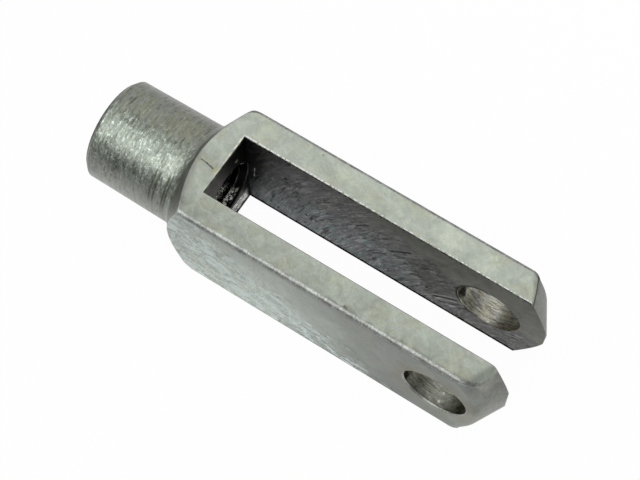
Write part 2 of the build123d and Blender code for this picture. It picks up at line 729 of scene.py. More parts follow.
@dataclass(frozen=True)
class BrushedFlat(Finish):
    """The flats at the sides: smooth grey that gives way to pale, brushed and pitted steel."""

    clouds: Grain = Grain(even(0.3), harshness=0.5)
    mottle: Grain = Grain((1.4, 1.4, 1.1))
    strokes: Grain = Grain((2.6, 2.6, 1.6), 3.0, 0.7, 0.6)
    stroke_lean: float = -17.5  # degrees from upright
    flecks: Grain = Grain((0.8, 0.8, 1.4), 4.0, 0.7, 1.2)
    patches: Grain = Grain((0.22, 0.3, 0.5), 5.0, 0.65, 0.6)
    wipe_lean: float = -9.0  # degrees from level
    pale_lines: Hairlines = Hairlines(0.56, 0.012, (0.4, 0.55))
    relief: float = 0.03

    brightness: float = 1.14
    zones: tuple[Zone, ...] = (
        Zone(x=(-38.0, -2.0), lift=-0.4),
        Zone(x=(0.0, 8.0), lift=0.12),
        Zone(x=(-34.0, -20.0), z=(-3.0, -10.0), lift=-0.1),
        Zone(x=(-40.0, -28.0), x_end=(-4.0, -10.0), z=(-8.5, -10.5), lift=-0.12),
        Zone(x=(-15.0, -9.0), x_end=(-2.0, -6.0), z=(1.0, -3.0), lift=-0.08),
    )
    bright_spot: Point = (-34.0, -12.0, -1.0)
    bright_reach: Span = (13.0, 5.0)
    bright_lift: float = 0.12

    border_slope: Point = (0.514, 0.0, 0.857)  # across the border between smooth and brushed
    border: float = -15.0
    border_width: Span = (3.0, -3.0)
    near_side: Zone = Zone(y=(4.0, -4.0), lift=0.55)  # how much more the near side is brushed
    cool: Colour = (0.97, 1.0, 0.995)
    pale: Colour = (0.66, 0.735, 0.71)
    rosy: Colour = (1.0, 0.94, 0.96)
    brown: Colour = (1.0, 0.93, 0.84)
    brown_reach: Span = (9.5, 7.0)  # from the pin axis
    # for the pits, and for the painted shade along the lower edge
    pit_and_shade: Colour = (0.3, 0.34, 0.32)

    # painted shade below the upper long edge and along the lower one
    edge_z: float = 11.3  # about where the upper edge's rounding begins
    foot_z: float = -11.45

    def layers(self, desk: NodeDesk, place: Socket) -> Skin:
        """Smooth grey with brushed patches, brown round the pin hole, then pits, marks and painted shade at
        the edges.

        Args:
            desk: the material's node tree.
            place: the surface point, in millimetres.

        Returns:
            What varies over the surface.
        """
        axes = desk.axes(place)
        clouds = desk.noise(place, self.clouds)
        mottle = desk.noise(place, self.mottle)
        strokes = desk.noise(desk.leant(place, Axis.Y, self.stroke_lean), self.strokes)
        wipes_and_glints = desk.leant(place, Axis.Y, self.wipe_lean)
        flecks = desk.noise(wipes_and_glints, self.flecks)
        patches = desk.noise(wipes_and_glints, self.patches)
        brushed = self.brushed(desk, place, axes, clouds)
        level = self.brightness + lifted(self.zones, axes)
        level = level + desk.distance(place, self.bright_spot).ramp(*self.bright_reach) * self.bright_lift
        level = level * (1.0 + clouds.sway(0.4) + mottle.sway(0.4) + strokes.sway(0.3 + brushed * 0.9))
        level = level + flecks.sway(0.2 + brushed * 1.8) + brushed * 0.07
        colour = desk.tinted(brushed, desk.scaled(self.colour, level.at_least(0.3)), self.cool)
        colour = desk.mixed((patches + flecks.sway(0.5)).ramp(0.48, 0.59) * brushed, colour, self.pale)
        thin = self.pale_lines.over(flecks, strokes) * (brushed * 0.4 + 0.1)
        colour = desk.mixed(thin, colour, self.pale)
        colour = desk.tinted(patches.ramp(0.44, 0.34) * brushed * 0.5, colour, self.rosy)
        x, _, z = axes
        off_pin = (x * x + z * z) ** 0.5 + clouds.sway(6.0)
        colour = desk.tinted(off_pin.ramp(*self.brown_reach) * 0.8, colour, self.brown)
        pits = strokes.ramp(0.38, 0.31) * (0.15 + brushed * 0.85) * patches.ramp(0.4, 0.52)
        colour = self.marked(desk, place, desk.tinted(pits * 0.75, colour, self.pit_and_shade))
        colour = self.edged(desk, z, mottle, colour)
        roughness = self.roughness + mottle.sway(0.15) + strokes.sway(0.15)
        normal = desk.bump(strokes * (0.4 + brushed * 0.6) - pits, self.relief)
        return Skin(colour, roughness, normal)

    def brushed(self, desk: NodeDesk, place: Socket, axes: Axes, clouds: Value) -> Value:
        """How much the surface is brushed, less on the far side.

        Args:
            desk: the material's node tree.
            place: the surface point.
            axes: its three parts.
            clouds: a noise that makes the border to the smooth part uneven.

        Returns:
            1 where it is brushed and 0 where it is smooth.
        """
        across = desk.dot(place, self.border_slope) - self.border + clouds.sway(14.0)
        return across.ramp(*self.border_width) * self.near_side.kept(axes)

    def edged(self, desk: NodeDesk, z: Value, mottle: Value, colour: Socket) -> Socket:
        """The colour, with painted shade up to the upper long edge and a broken line of painted shade along
        the lower one.

        Args:
            desk: the material's node tree.
            z: how high the surface point is.
            mottle: a noise that makes the edges uneven.
            colour: the colour under them.

        Returns:
            The colour with both edges over it.
        """
        high = z + mottle.sway(1.0)
        soft, firm = high.ramp(self.edge_z - 1.5, self.edge_z), high.ramp(self.edge_z - 0.5, self.edge_z)
        colour = desk.tinted(soft * 0.1 + firm * 0.42, colour, DARK)
        off_foot = abs(z - self.foot_z + mottle.sway(0.9))
        return desk.tinted(off_foot.ramp(0.5, 0.15) * mottle.ramp(0.4, 0.6) * 0.6, colour, self.pit_and_shade)


@dataclass(frozen=True)
class TurnedSteel(Finish):
    """A turned surface: fine rings round the rod axis, broken into glints, and a few deeper grooves."""

    rings: Grain = Grain((3.0, 0.25, 0.25), 2.0)
    glints: Grain = Grain((2.0, 1.0, 1.0), harshness=0.7)
    bands: Grain = Grain((0.45, 0.2, 0.2))
    relief: float = 0.045

    # the painted highlight band
    lit: Zone = Zone(y=(2.5, -2.0), z=(3.5, 7.0))  # where the glints are strongest
    # painted shade low on the near side, painted light high on the far side, and a dimmer painted highlight
    # towards the neck's end
    zones: tuple[Zone, ...] = (
        Zone(y=(-6.6, -8.6), lift=-0.06),
        Zone(y=(6.0, 8.0), lift=0.13),
        Zone(x=(-59.0, -63.0), y=(2.5, -2.0), z=(3.5, 7.0), lift=-0.1),
    )
    # a green tint over the painted highlight band
    green: Colour = (0.94, 1.0, 0.95)

    # painted glints: sparks, strongest in the highlight band, and bright lines along the scores within it
    sparks: Grain = Grain((2.6, 1.5, 1.5), 2.0)
    spark: Colour = (0.76, 0.86, 0.78)
    scores: Grain = Grain((1.6, 0.11, 0.11), 2.0, 0.5)
    dark_lines: Hairlines = Hairlines(0.47, 0.02, (0.55, 0.45), 0.8)
    bright_lines: Hairlines = Hairlines(0.56, 0.02, (0.5, 0.6), 0.7)
    stained: Zone = Zone(y=(-3.0, 3.0), y_end=(7.5, 5.0))
    olive: Colour = (1.0, 1.0, 0.87)
    far_side: Zone = Zone(y=(6.0, 8.0))
    violet: Colour = (1.0, 0.95, 1.0)

    grooves_x: tuple[float, ...] = (-60.8, -60.0, -58.1, -57.55)
    groove_width: Span = (0.26, 0.06)
    groove_depth: float = 0.1  # all the way round, where 1 is full
    grooved: Zone = Zone(y=(-5.0, -6.4), z=(1.8, 4.4), lift=0.85)
    groove: Colour = (0.42, 0.41, 0.37)
    end_ring: Zone = Zone(x=(-74.4, -74.7), lift=0.85)
    end_reach: Span = (8.9, 9.15)  # from the rod axis

    def layers(self, desk: NodeDesk, place: Socket) -> Skin:
        """Rings and glints, a painted highlight band with painted glints, then scores, stains, the deeper
        grooves and the dark end.

        Args:
            desk: the material's node tree.
            place: the surface point, in millimetres.

        Returns:
            What varies over the surface.
        """
        axes = desk.axes(place)
        rings = desk.noise(place, self.rings)
        glints = desk.noise(place, self.glints)
        bands = desk.noise(place, self.bands)
        lit = self.lit.share(axes)
        level = 1.0 + rings.sway(0.8) + glints.sway(0.65 + lit * 1.2) + bands.sway(0.3)
        level = level + lifted(self.zones, axes)
        colour = desk.tinted(lit, desk.scaled(self.colour, level.at_least(0.25)), self.green)
        sparks = desk.noise(place, self.sparks).ramp(0.56, 0.64) * glints.ramp(0.48, 0.56)
        colour = desk.mixed(sparks * (0.25 + lit * 0.55), colour, self.spark)
        scores = desk.noise(place, self.scores)
        colour = desk.tinted(self.dark_lines.over(scores, glints), colour, self.groove)
        colour = desk.mixed(self.bright_lines.over(scores, glints) * lit, colour, self.spark)
        colour = desk.tinted(self.stained.share(axes) * bands.ramp(0.38, 0.6), colour, self.olive)
        colour = desk.tinted(self.far_side.share(axes), colour, self.violet)
        grooves = self.grooves(axes, rings)
        colour = desk.tinted(grooves * (0.5 + glints), colour, self.groove)
        _, y, z = axes
        off_axis = (y * y + z * z) ** 0.5
        colour = desk.tinted(self.end_ring.added(axes) * off_axis.ramp(*self.end_reach), colour, self.groove)
        roughness = self.roughness + glints.sway(0.4)
        normal = desk.bump(rings * 0.5 + glints * 0.6 - grooves * 1.2, self.relief)
        return Skin(colour, roughness, normal)

    def grooves(self, axes: Axes, rings: Value) -> Value:
        """The few deeper grooves, full on the near side and faint elsewhere.

        Args:
            axes: the surface point's three parts.
            rings: a noise that makes the grooves waver.

        Returns:
            How deep they are, where 1 is full.
        """
        wobble = axes[0] + rings.sway(0.25)
        cut = sum(abs(wobble - groove_x).ramp(*self.groove_width) for groove_x in self.grooves_x)
        return cut * (self.grooved.added(axes) + self.groove_depth)


@dataclass(frozen=True)
class MilledWall(Finish):
    """The slot's walls: dark, with the cutter's marks as arcs about its centre, and painted shade darkest at
    the slot's end.
    """

    cutter: tuple[float, float] = (16.0, -29.0)  # its centre's place along X and Z
    sweep: float = 50.0  # millimetres along an arc that a radian stands for
    cuts: Grain = Grain((1.3, 0.3, 0.2), 4.0, 0.75)
    streaks: Grain = Grain((2.6, 0.9, 0.5), harshness=0.7)
    scores: Grain = Grain((0.8, 0.07, 0.1), 2.0, 0.5)
    bright_lines: tuple[Hairlines, Hairlines] = (  # the first broken up by the cuts, the other by the streaks
        Hairlines(0.56, 0.035, (0.44, 0.54), 0.6),
        Hairlines(0.42, 0.03, (0.46, 0.54), 0.6),
    )
    dark_lines: Hairlines = Hairlines(0.49, 0.03, (0.56, 0.46), 0.45)
    blotches: Grain = Grain(even(0.45), 4.0, 0.65)
    patches: Grain = Grain((0.3, 0.3, 0.35))
    smooth_slope: Point = (0.25, 0.0, 0.8)  # towards the smooth upper part
    relief: float = 0.05

    foot_zones: tuple[Zone, ...] = (
        Zone(z=(3.0, -10.0), lift=-0.08),
        Zone(x=(-36.0, -16.0), z=(3.0, -10.0), lift=-0.17),
    )
    # painted shade towards the slot's end
    end_zones: tuple[Zone, ...] = (
        Zone(x=(-36.0, -47.0), lift=-0.12),
        Zone(x=(-36.0, -47.0), z=(-10.0, 3.0), lift=-0.28),
    )
    hues: Grain = Grain((0.35, 0.35, 0.4))
    cool: Colour = (0.9, 0.98, 1.0)
    violet: Colour = (0.95, 0.94, 1.0)
    green: Colour = (1.0, 1.0, 0.93)

    grime: Colour = (0.22, 0.22, 0.21)
    pit_stretch: Point = (1.0, 0.45, 0.6)
    pit_spacing: float = 1.5
    pit_radius: float = 0.22
    pitted: Zone = Zone(x=(-30.0, -42.0), lift=0.55)
    # painted shade along the wall's foot
    foot: Span = (-10.8, -11.15)
    foot_dark: float = 0.94
    pin_ring_radius: float = 6.4
    pin_ring_width: Span = (0.45, 0.15)
    pin_ring: Zone = Zone(x=(1.0, -3.0), lift=0.75)
    # painted shade at the slot's end, reaching further out higher up
    end_x: float = -50.3
    end_foot_z: float = -4.0  # from where up the dark reaches further out
    end_rise: float = 8.0  # over how much of the height
    end_lean: float = 0.1  # and how much further for each millimetre of it
    end_dark: float = 0.38
    end_reach: Span = (4.2, 0.6)
    end_upper: Zone = Zone(z=(-10.0, 0.0), lift=0.2)

    def layers(self, desk: NodeDesk, place: Socket) -> Skin:
        """Cuts, streaks and scores along the arcs, then pits, grime, painted shade and marks.

        Args:
            desk: the material's node tree.
            place: the surface point, in millimetres.

        Returns:
            What varies over the surface.
        """
        axes = desk.axes(place)
        arcs = self.arcs(desk, axes)
        cuts = desk.noise(arcs, self.cuts)
        streaks = desk.noise(arcs, self.streaks)
        scores = desk.noise(arcs, self.scores)
        blotches = desk.noise(place, self.blotches)
        patches = desk.noise(place, self.patches)
        smooth = (desk.dot(place, self.smooth_slope) + blotches.sway(14.0)).ramp(-3.0, 5.0)
        rough = (1.0 - smooth * 0.85) * (0.35 + patches.ramp(0.4, 0.54) * 0.65)
        level = 1.0 + (cuts.sway(1.3) + streaks.sway(1.5)) * (rough * 0.9 + 0.15) + blotches.sway(0.7)
        bright = sum(lines.over(scores, breaks) for lines, breaks in zip(self.bright_lines, (cuts, streaks)))
        level = level + (bright - self.dark_lines.over(scores, cuts)) * rough + smooth * 0.08
        level = level * (1.0 + lifted(self.foot_zones, axes)) * (1.0 + lifted(self.end_zones, axes))
        colour = desk.scaled(self.colour, level.at_least(0.12))
        colour = desk.tinted(smooth, self.hued(desk, place, blotches, colour), self.green)
        dashed = desk.vector_math("MULTIPLY", arcs, self.pit_stretch)
        pits = desk.specks(dashed, self.pit_spacing, self.pit_radius) * rough * self.pitted.kept(axes)
        colour = self.soiled_and_shaded(desk, axes, (cuts, streaks, blotches), desk.tinted(pits, colour, self.grime))
        roughness = self.roughness + streaks.sway(0.25)
        normal = desk.bump(cuts * 0.5 + streaks * 0.5 - pits * 0.7, self.relief)
        return Skin(self.marked(desk, place, colour), roughness, normal)

    def arcs(self, desk: NodeDesk, axes: Axes) -> Socket:
        """The surface point as the cutter went over it.

        Args:
            desk: the material's node tree.
            axes: the surface point's three parts.

        Returns:
            Its distance from the cutter's centre, its place along the cutter's sweep, and its Y.
        """
        x, y, z = axes
        across, up = x - self.cutter[0], z - self.cutter[1]
        reach = (across * across + up * up) ** 0.5
        return desk.joined(reach, desk.math("ARCTAN2", up, across) * self.sweep, y)

    def hued(self, desk: NodeDesk, place: Socket, blotches: Value, colour: Socket) -> Socket:
        """The colour, bluish and violet by turns over the lower rear of the wall.

        Args:
            desk: the material's node tree.
            place: the surface point.
            blotches: a noise that makes the border uneven.
            colour: the colour under the hues.

        Returns:
            The new colour.
        """
        x, _, z = desk.axes(place)
        hues = desk.noise(place, self.hues)
        low = (z + blotches.sway(10.0)).ramp(4.0, -2.0) * (x + hues.sway(20.0)).ramp(-8.0, -22.0)
        colour = desk.tinted(low * hues.ramp(0.44, 0.54), colour, self.cool)
        return desk.tinted(low * hues.ramp(0.5, 0.42), colour, self.violet)

    def soiled_and_shaded(self, desk: NodeDesk, axes: Axes, noises: Sequence[Value], colour: Socket) -> Socket:
        """The colour with painted shade along the wall's foot and at the slot's end, and a ring of grime
        round the pin hole.

        Args:
            desk: the material's node tree.
            axes: the surface point's three parts.
            noises: the cuts, streaks and blotches, which make the borders uneven.
            colour: the colour under them.

        Returns:
            The colour with the dark parts over it.
        """
        x, _, z = axes
        cuts, streaks, blotches = noises
        colour = desk.tinted((z + blotches.sway(0.8)).ramp(*self.foot) * self.foot_dark, colour, DARK)
        off_ring = abs((x * x + z * z) ** 0.5 - self.pin_ring_radius) + streaks.sway(0.5)
        ring = off_ring.ramp(*self.pin_ring_width) * self.pin_ring.added(axes)
        colour = desk.tinted(ring, colour, self.grime)
        past_end = x - self.end_x - (z - self.end_foot_z).at_least(0.0).at_most(self.end_rise) * self.end_lean
        end = (past_end + cuts.sway(2.5)).ramp(*self.end_reach)
        return desk.tinted(end * (self.end_dark + self.end_upper.added(axes)), colour, DARK)


@dataclass(frozen=True)
class SlotEnd(Finish):
    """The slot's end: dark, most of all up on its far side, with painted glints in streaks low down."""

    film: Grain = Grain(even(0.6))
    flecks: Grain = Grain((1.2, 0.8, 2.0), 3.0, 0.7, 0.6)
    # the darker colour up on the far side, and where its border lies
    dark_in_recess: Colour = (0.42, 0.4, 0.39)
    dark_reach: Span = (1.0, 5.5)
    dark_lean: float = 0.3  # how much the oil's border comes nearer for each millimetre up
    # painted glints in streaks low down: their colour and the band they lie in
    wipes_and_glints: Colour = (1.0, 1.0, 0.98)
    glints_foot: Span = (-10.8, -10.4)
    glints_top: Span = (-6.8, -8.0)
    glints_side: Span = (6.4, 5.0)
    shadow: Span = (-6.0, -8.0)
    relief: float = 0.3

    def layers(self, desk: NodeDesk, place: Socket) -> Skin:
        """A film and flecks, darker up on the far side, painted shadow low down, and a band of painted
        glints.

        Args:
            desk: the material's node tree.
            place: the surface point, in millimetres.

        Returns:
            What varies over the surface.
        """
        _, y, z = desk.axes(place)
        film = desk.noise(place, self.film)
        flecks = desk.noise(place, self.flecks)
        level = 1.0 + film.sway(1.2) + flecks.sway(0.8)
        colour = desk.scaled(self.colour, level.at_least(0.2))
        colour = desk.tinted((y + z * self.dark_lean).ramp(*self.dark_reach), colour, self.dark_in_recess)
        low = z + film.sway(0.8)
        colour = desk.tinted(low.ramp(*self.shadow) * 0.8, colour, DARK)
        band = low.ramp(*self.glints_top) * low.ramp(*self.glints_foot)
        wipes_and_glints = band * flecks.ramp(0.47, 0.49) * y.ramp(*self.glints_side)
        colour = self.marked(desk, place, desk.mixed(wipes_and_glints, colour, self.wipes_and_glints))
        roughness = self.roughness + flecks.sway(0.3) - wipes_and_glints * 0.12
        normal = desk.bump(flecks * (0.2 + band * 0.8), self.relief)
        return Skin(colour, roughness, normal)


@dataclass(frozen=True)
class DrilledWall(Finish):
    """The pin hole's wall: scored round the pin axis by the drill, with painted glints, and painted shade at
    its ends.
    """

    rings: Grain = Grain((0.35, 3.2, 0.35), harshness=0.65)
    glints: Grain = Grain((0.9, 2.6, 0.9), 4.0, 0.75)
    patches: Grain = Grain((0.5, 0.6, 0.5))
    scores: Grain = Grain((0.14, 1.6, 0.14))
    relief: float = 0.08

    near_arm: Span = (0.5, -0.5)
    far_lift: float = 0.1  # how much paler the far arm's hole is
    # painted light on the far arm's hole towards the rear
    far_spot: Zone = Zone(x=(2.0, -1.0), lift=0.42)
    olive: Colour = (0.97, 1.0, 0.93)
    brown: Colour = (1.0, 0.985, 0.86)
    # where the painted glints lie
    lit: Zone = Zone(x=(3.0, 1.0))
    glint: Colour = (0.95, 0.95, 0.9)

    # for the scores, and for the painted shade
    score_and_shade: Colour = (0.25, 0.24, 0.2)
    dark_lines: Hairlines = Hairlines(0.47, 0.02, (-1.0, 0.0))  # broken up nowhere, as noise is above 0
    bright_lines: Hairlines = Hairlines(0.54, 0.018, (0.42, 0.55))
    # painted shade at the wall's ends and where it faces along the rod
    inner_end: Span = (7.15, 6.35)  # away from the part's middle
    outer_end: Span = (11.1, 11.8)
    rear_shade: Span = (-5.2, -6.0)
    front_shade: Span = (2.4, 5.2)
    far_shade_shift: float = 2.0  # how much sooner the shade begins in the far arm's hole

    def layers(self, desk: NodeDesk, place: Socket) -> Skin:
        """Rings and glints, then scores and shade, each arm's hole in its own way.

        Args:
            desk: the material's node tree.
            place: the surface point, in millimetres.

        Returns:
            What varies over the surface.
        """
        axes = desk.axes(place)
        near = axes[1].ramp(*self.near_arm)
        rings = desk.noise(place, self.rings)
        glints = desk.noise(place, self.glints)
        patches = desk.noise(place, self.patches)
        level = 1.0 + (rings.sway(2.2) + glints.sway(2.4)) * (1.0 - near * 0.45) + patches.sway(0.8)
        far_lift = (1.0 - near) * (self.far_lift + self.far_spot.added(axes))
        colour = desk.scaled(self.colour, level.at_least(0.15) * (1.0 + far_lift))
        colour = desk.tinted(near, colour, self.olive)
        colour = desk.tinted((1.0 - near) * patches.ramp(0.4, 0.6), colour, self.brown)
        lit = self.lit.share(axes) * (1.0 - near * 0.6)
        colour = desk.mixed(glints.ramp(0.55, 0.62) * rings.ramp(0.45, 0.56) * lit, colour, self.glint)
        scores = desk.noise(place, self.scores)
        dark = self.dark_lines.over(scores, glints) * (1.0 - near * 0.5)
        bright = self.bright_lines.over(scores, glints) * lit
        colour = desk.mixed(bright, desk.tinted(dark, colour, self.score_and_shade), self.glint)
        colour = self.marked(desk, place, self.shaded(desk, axes, near, patches, colour))
        roughness = self.roughness + glints.sway(0.4)
        normal = desk.bump(rings * 0.6 + glints * 0.4, self.relief)
        return Skin(colour, roughness, normal)

    def shaded(self, desk: NodeDesk, axes: Axes, near: Value, patches: Value, colour: Socket) -> Socket:
        """The colour, with painted shade where the wall ends and where it faces along the rod.

        Args:
            desk: the material's node tree.
            axes: the surface point's three parts.
            near: 1 in the near arm's hole and 0 in the far arm's.
            patches: a noise that makes the shade uneven.
            colour: the colour under the shade.

        Returns:
            The shaded colour.
        """
        x, y, _ = axes
        ends = abs(y).ramp(*self.inner_end) + abs(y).ramp(*self.outer_end)
        colour = desk.tinted(ends * (0.1 + near * 0.45), colour, self.score_and_shade)
        rear = (x + patches.sway(2.0)).ramp(*self.rear_shade)
        front = (x + (1.0 - near) * self.far_shade_shift + patches.sway(3.0)).ramp(*self.front_shade)
        return desk.tinted((rear + front).at_most(1.0) * 0.8, colour, self.score_and_shade)


@dataclass(frozen=True)
class CutThread(Finish):
    """The thread: black with painted shade, grey along the crest and the rim, and with painted glints low
    down.
    """

    film: Grain = Grain((2.2, 1.6, 1.6), harshness=0.7)
    # painted shade in the thread's grooves
    dark_in_recess: Colour = (0.012, 0.012, 0.012)
    crest: Span = (5.35, 5.16)  # from the rod axis
    rim: Span = (6.3, 6.42)
    low: Span = (3.2, 4.6)  # below the rod axis
    low_lean: float = 0.2  # how much that border leans towards the near side
    shallow: Span = (6.1, 5.7)  # from the rod axis
    inner: Zone = Zone(x=(-60.0, -56.0))
    glint: Colour = (1.0, 0.98, 0.9)
    relief: float = 0.25

    def layers(self, desk: NodeDesk, place: Socket) -> Skin:
        """Painted shade with grey crest and rim, and painted glints low down.

        Args:
            desk: the material's node tree.
            place: the surface point, in millimetres.

        Returns:
            What varies over the surface.
        """
        axes = desk.axes(place)
        _, y, z = axes
        reach = (y * y + z * z) ** 0.5
        film = desk.noise(place, self.film)
        ridges = reach.ramp(*self.crest) + reach.ramp(*self.rim) * 0.6
        colour = desk.mixed(ridges * (0.5 + film.ramp(0.4, 0.6) * 0.5), self.dark_in_recess, self.colour)
        low = (-z - y * self.low_lean).ramp(*self.low) * reach.ramp(*self.shallow) * self.inner.share(axes)
        wipes_and_glints = (film + ridges * 0.1).ramp(0.51, 0.54) * low
        colour = self.marked(desk, place, desk.mixed(wipes_and_glints, colour, self.glint))
        roughness = self.roughness + film.sway(0.3) - wipes_and_glints * 0.15
        normal = desk.bump(film * (0.2 + low * 0.8), self.relief)
        return Skin(colour, roughness, normal)


@dataclass(frozen=True)
class DressedFace(Finish):
    """The faces that were turned or dressed last: tip cones, shoulder, rims and edges."""

    worn: Colour = (0.24, 0.24, 0.22)
    ring_fineness: float = 0.9  # round the rod axis
    patch_fineness: float = 0.5
    grit: Grain = Grain(even(4.0), 2.0)
    relief: float = 0.02

    def layers(self, desk: NodeDesk, place: Socket) -> Skin:
        """Worn steel under faint rings, patches and grit.

        Args:
            desk: the material's node tree.
            place: the surface point, in millimetres.

        Returns:
            What varies over the surface.
        """
        rings = desk.noise(place, Grain((3.0, self.ring_fineness, self.ring_fineness)))
        patches = desk.noise(place, Grain(even(self.patch_fineness)))
        grit = desk.noise(place, self.grit)
        shade = (rings * 0.35 + patches * 0.45 + grit * 0.2).ramp(0.38, 0.62)
        colour = self.marked(desk, place, desk.mixed(shade, self.worn, self.colour))
        roughness = self.roughness + patches.sway(0.2)
        normal = desk.bump(rings * 0.6 + grit * 0.4, self.relief)
        return Skin(colour, roughness, normal)


# ---------------------------------------------------------------------------------------------
# The surfaces and their single marks
# ---------------------------------------------------------------------------------------------

TOP_Z = 12.0
WHITER = (1.14, 1.15, 1.13)
TOP_MARKS = (
    # a painted highlight along the shoulder's arc at the near rear corner
    Scratch((-52.2, -11.35, TOP_Z), (-52.9, -10.0, TOP_Z), 0.5, 1.0, (1.3, 1.3, 1.28)),
    # a dark hook beside the slot's end, and the brown stain at its foot
    Scratch((-54.3, -1.3, TOP_Z), (-53.0, -1.42, TOP_Z), 0.22, 0.6, DARK),
    Scratch((-53.0, -1.42, TOP_Z), (-51.6, -1.75, TOP_Z), 0.26, 0.65, DARK),
    Smudge((-51.0, -1.5, TOP_Z), 1.1, 0.6, (1.0, 0.93, 0.75)),
    Smudge((-53.2, -2.0, TOP_Z), 3.4, 1.0, (0.9, 0.9, 0.89)),
    # dark spots along the near edge, and a brown one on the far arm
    Smudge((-18.6, -11.2, TOP_Z), 0.75, 0.5, DARK),
    Smudge((-17.7, -11.6, TOP_Z), 0.5, 0.45, DARK),
    Smudge((-37.0, 10.7, TOP_Z), 0.32, 0.6, (0.5, 0.4, 0.3)),
    # paler and duller patches on the two arms
    Smudge((-11.0, 9.5, TOP_Z), 3.4, 0.8, WHITER),
    Smudge((-3.0, 8.6, TOP_Z), 3.0, 0.8, WHITER),
    Smudge((-12.0, -9.0, TOP_Z), 3.2, 0.7, WHITER),
    Smudge((3.8, -10.2, TOP_Z), 1.6, 0.35, (0.7, 0.66, 0.5)),
)

NEAR_Y = -12.0
SIDE_MARKS = (
    # painted shadow beside the pin hole, towards the tip
    Smudge((6.9, NEAR_Y, 3.6), 3.6, 1.0, (0.78, 0.78, 0.77)),
    Smudge((-21.4, NEAR_Y, 1.5), 4.5, 1.0, (1.17, 1.17, 1.16)),
    Smudge((-15.6, NEAR_Y, -4.8), 4.5, 1.0, (0.86, 0.86, 0.86)),
    Smudge((-2.5, NEAR_Y, 7.5), 3.0, 1.0, (1.15, 1.15, 1.14)),
    Smudge((-36.0, NEAR_Y, -1.5), 3.5, 1.0, (1.12, 1.12, 1.13)),
)

WALL_Y = 6.25
SCORED = (2.0, 2.0, 2.0)
WALL_MARKS = (
    Smudge((-11.4, WALL_Y, -1.6), 8.0, 1.0, (0.72, 0.72, 0.7)),
    # scratches beside the pin hole, bright and dark
    Scratch((-10.9, WALL_Y, -7.6), (-6.4, WALL_Y, -3.6), 0.28, 0.9, SCORED),
    Scratch((-10.4, WALL_Y, -8.4), (-6.0, WALL_Y, -5.2), 0.26, 0.9, SCORED),
    Scratch((-9.0, WALL_Y, -9.6), (-6.2, WALL_Y, -7.4), 0.24, 0.8, SCORED),
    Scratch((-10.7, WALL_Y, -8.0), (-6.2, WALL_Y, -4.4), 0.28, 0.7, DARK),
    Scratch((-9.6, WALL_Y, -9.1), (-6.0, WALL_Y, -6.4), 0.26, 0.7, DARK),
    # dark scratches across the middle of the arm
    Scratch((-20.3, WALL_Y, 0.0), (-16.3, WALL_Y, 4.0), 0.5, 0.6, DARK),
    Scratch((-27.3, WALL_Y, 2.3), (-25.3, WALL_Y, 5.3), 0.35, 0.5, DARK),
    Scratch((-23.7, WALL_Y, -5.0), (-21.0, WALL_Y, -2.3), 0.35, 0.5, DARK),
    # pits
    Smudge((-12.2, WALL_Y, -6.0), 0.45, 1.0, DARK),
    Smudge((-5.5, WALL_Y, -10.6), 0.45, 0.8, DARK),
    Smudge((-37.7, WALL_Y, -5.7), 0.5, 1.0, DARK),
    Smudge((-35.7, WALL_Y, -5.7), 0.4, 0.9, DARK),
    Smudge((-42.0, WALL_Y, 4.7), 0.4, 0.9, DARK),
    Smudge((-44.0, WALL_Y, -9.5), 0.45, 0.8, DARK),
    # a painted highlight near the slot's end
    Scratch((-49.0, WALL_Y, -1.8), (-48.8, WALL_Y, 1.4), 0.32, 0.9, (12.0, 12.0, 11.6)),
)

# a painted glint high on the slot's end
SLOT_END_MARKS = (Smudge((-50.3, 3.2, 7.7), 0.55, 1.0, (30.0, 30.0, 29.0)),)

# painted glints in the thread
THREAD_GLINT = (60.0, 60.0, 58.0)
THREAD_MARKS = (
    Smudge((-50.8, 5.3, 2.5), 0.5, 1.0, THREAD_GLINT),
    Smudge((-51.5, -5.0, 1.0), 0.4, 1.0, THREAD_GLINT),
)

TIP_MARKS = (
    Smudge((8.0, -10.9, 4.5), 4.5, 0.6, (0.88, 0.88, 0.87)),
    # a painted highlight where the near tip's top turns into its cone
    Smudge((7.0, -8.6, 10.4), 4.5, 1.0, (1.35, 1.35, 1.3)),
    # painted shadow under the near tip's worn upper corner
    Smudge((5.2, -10.9, 11.2), 1.3, 0.55, DARK),
)

GLINT = (2.2, 2.2, 2.2)
PIN_HOLE_MARKS = (
    # painted shade where the far arm's hole turns along the rod, and where the near arm's does
    Smudge((-5.8, 7.6, -2.2), 1.7, 0.85, DARK),
    Smudge((4.6, 10.6, -4.2), 1.8, 0.6, DARK),
    Smudge((4.9, -10.5, -3.8), 1.5, 0.6, DARK),
    Smudge((-5.9, -11.2, -1.8), 1.0, 0.8, DARK),
    # painted glints low in the near arm's hole
    Smudge((0.71, -9.07, -6.16), 0.3, 1.0, GLINT),
    Smudge((0.78, -10.8, -6.15), 0.35, 1.0, GLINT),
)


